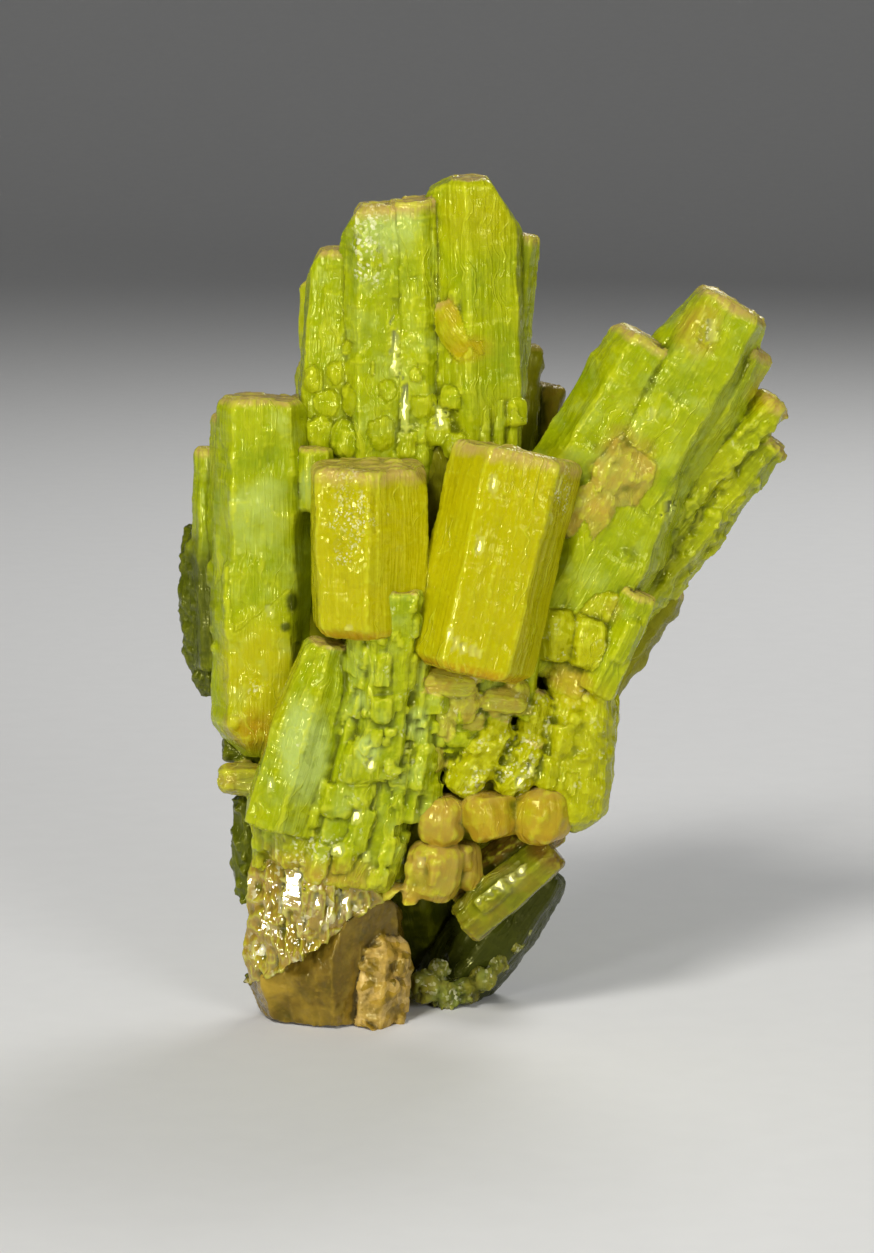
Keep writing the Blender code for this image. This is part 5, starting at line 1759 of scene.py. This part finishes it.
class SPECIMEN_OT_lower_cluster(bpy.types.Operator):
    """Add the barrel, the glittering crystals and the small blocks at the lower right"""

    bl_idname = "specimen.lower_cluster"
    bl_label = "Lower Cluster"

    def execute(self, context):
        add_piece(context, "lower")
        return {"FINISHED"}


class SPECIMEN_OT_rounded_knobs(bpy.types.Operator):
    """Add the rounded tan and orange knobs"""

    bl_idname = "specimen.rounded_knobs"
    bl_label = "Rounded Knobs"

    def execute(self, context):
        add_piece(context, "knobs")
        return {"FINISHED"}


class SPECIMEN_OT_blocky_stem(bpy.types.Operator):
    """Add the stem of stacked blocks, with the pegs on its left"""

    bl_idname = "specimen.blocky_stem"
    bl_label = "Blocky Stem"

    def execute(self, context):
        add_piece(context, "stem")
        return {"FINISHED"}


class SPECIMEN_OT_wrinkled_root(bpy.types.Operator):
    """Add the glossy tan root of the stem"""

    bl_idname = "specimen.wrinkled_root"
    bl_label = "Wrinkled Root"

    def execute(self, context):
        add_piece(context, "root")
        return {"FINISHED"}


class SPECIMEN_OT_hidden_crystals(bpy.types.Operator):
    """Add the dark crystals in painted shade with their crust, the crystals at the back and the
    inner ones
    """

    bl_idname = "specimen.hidden_crystals"
    bl_label = "Shaded and Back Crystals"

    def execute(self, context):
        for key in ("shade", "crust", "back", "core"):
            add_piece(context, key)
        return {"FINISHED"}


class SPECIMEN_OT_matrix(bpy.types.Operator):
    """Add the stub of iron-stained matrix"""

    bl_idname = "specimen.matrix"
    bl_label = "Matrix"

    def execute(self, context):
        add_piece(context, "matrix")
        return {"FINISHED"}


def add_softbox(name, place, aim, size, power, colour):
    """A square soft light at a place in metres, turned towards another."""
    light = bpy.data.lights.new(name, "AREA")
    light.shape = "SQUARE"
    light.size = size
    light.energy = power
    light.color = colour
    made = bpy.data.objects.new(name, light)
    made.location = place
    made.rotation_euler = (Vector(aim) - Vector(place)).to_track_quat("-Z", "Y").to_euler()
    bpy.context.scene.collection.objects.link(made)


def add_camera(sizes):
    """The camera, straight in front of its target and looking down a little."""
    camera = bpy.data.cameras.new("camera")
    camera.lens = sizes.lens
    camera.clip_start = 0.001
    made = bpy.data.objects.new("camera", camera)
    angle = sizes.camera_height
    away = Vector((0, -math.cos(angle), math.sin(angle))) * sizes.camera_distance
    made.location = Vector(CAMERA_TARGET) + away
    made.rotation_euler = (math.pi / 2 - angle, 0, 0)
    bpy.context.scene.collection.objects.link(made)
    bpy.context.scene.camera = made


def paper_material(colours):
    """Matt paper, a little uneven in tone."""
    material, tree, surface = start_material("matt studio paper")
    fine = add_node(tree, "ShaderNodeTexNoise", {"Scale": PAPER_GRAIN, "Detail": 2.0})
    shade = [channel * PAPER_SHADE for channel in colours.floor]
    tone = blend_colours(tree, fine.outputs[0], colours.floor, shade)
    tree.links.new(tone, surface.inputs["Base Color"])
    surface.inputs["Roughness"].default_value = PAPER_ROUGHNESS
    return material


def add_floor(sizes, colours):
    """A floor that sweeps up into a backdrop in one quarter of a circle."""
    half = sizes.floor_size / 2
    bend = sizes.sweep_height / 2
    profile = [(-half, 0), (half - bend, 0)]
    for step in range(1, SWEEP_STEPS + 1):
        angle = math.pi / 2 * step / SWEEP_STEPS
        profile.append((half - bend + bend * math.sin(angle), bend - bend * math.cos(angle)))
    profile.append((half, sizes.sweep_height))
    sheet = bmesh.new()
    rows = [[sheet.verts.new((x, y, z)) for x in (-half, half)] for y, z in profile]
    for (a, b), (c, d) in itertools.pairwise(rows):
        sheet.faces.new((a, b, d, c))
    mesh = bpy.data.meshes.new("studio_floor")
    sheet.to_mesh(mesh)
    sheet.free()
    mesh.shade_smooth()
    mesh.materials.append(paper_material(colours))
    made = bpy.data.objects.new("studio_floor", mesh)
    bpy.context.scene.collection.objects.link(made)


class SPECIMEN_OT_stage(bpy.types.Operator):
    """Add the floor, the soft lights and the camera"""

    bl_idname = "specimen.stage"
    bl_label = "Stage"

    def execute(self, context):
        sizes = context.scene.specimen_sizes
        add_floor(sizes, context.scene.specimen_colours)
        for name, place, size, power, colour in SOFTBOXES:
            add_softbox(name, place, CAMERA_TARGET, size, power, colour)
        add_camera(sizes)
        world = bpy.data.worlds.new("soft room")
        world.use_nodes = True
        background = world.node_tree.nodes["Background"]
        background.inputs["Color"].default_value = (*WORLD_COLOUR, 1)
        background.inputs["Strength"].default_value = WORLD_STRENGTH
        context.scene.world = world
        context.scene.view_settings.view_transform = "Standard"
        return {"FINISHED"}


STEPS_IN_ORDER = (
    SPECIMEN_OT_stage,
    SPECIMEN_OT_central_sheaf,
    SPECIMEN_OT_left_sheaf,
    SPECIMEN_OT_golden_prisms,
    SPECIMEN_OT_right_sheaf,
    SPECIMEN_OT_lower_cluster,
    SPECIMEN_OT_rounded_knobs,
    SPECIMEN_OT_blocky_stem,
    SPECIMEN_OT_wrinkled_root,
    SPECIMEN_OT_hidden_crystals,
    SPECIMEN_OT_matrix,
)


class SPECIMEN_PT_panel(bpy.types.Panel):
    """Sizes, colours and the steps that build the specimen"""

    bl_idname = "SPECIMEN_PT_panel"
    bl_label = "Pyromorphite Specimen"
    bl_space_type = "VIEW_3D"
    bl_region_type = "UI"
    bl_category = "Specimen"

    def draw(self, context):
        layout = self.layout
        for step in STEPS_IN_ORDER:
            layout.operator(step.bl_idname)
        for group in (context.scene.specimen_sizes, context.scene.specimen_colours):
            box = layout.box()
            for name in group.__annotations__:
                box.prop(group, name)


CLASSES = (SpecimenSizes, SpecimenColours, *STEPS_IN_ORDER, SPECIMEN_PT_panel)


def register():
    for made in CLASSES:
        bpy.utils.register_class(made)
    bpy.types.Scene.specimen_sizes = PointerProperty(type=SpecimenSizes)
    bpy.types.Scene.specimen_colours = PointerProperty(type=SpecimenColours)


def unregister():
    del bpy.types.Scene.specimen_colours
    del bpy.types.Scene.specimen_sizes
    for made in reversed(CLASSES):
        bpy.utils.unregister_class(made)


def main():
    register()
    for step in STEPS_IN_ORDER:
        group, name = step.bl_idname.split(".")
        getattr(getattr(bpy.ops, group), name)()


if __name__ == "__main__":
    main()
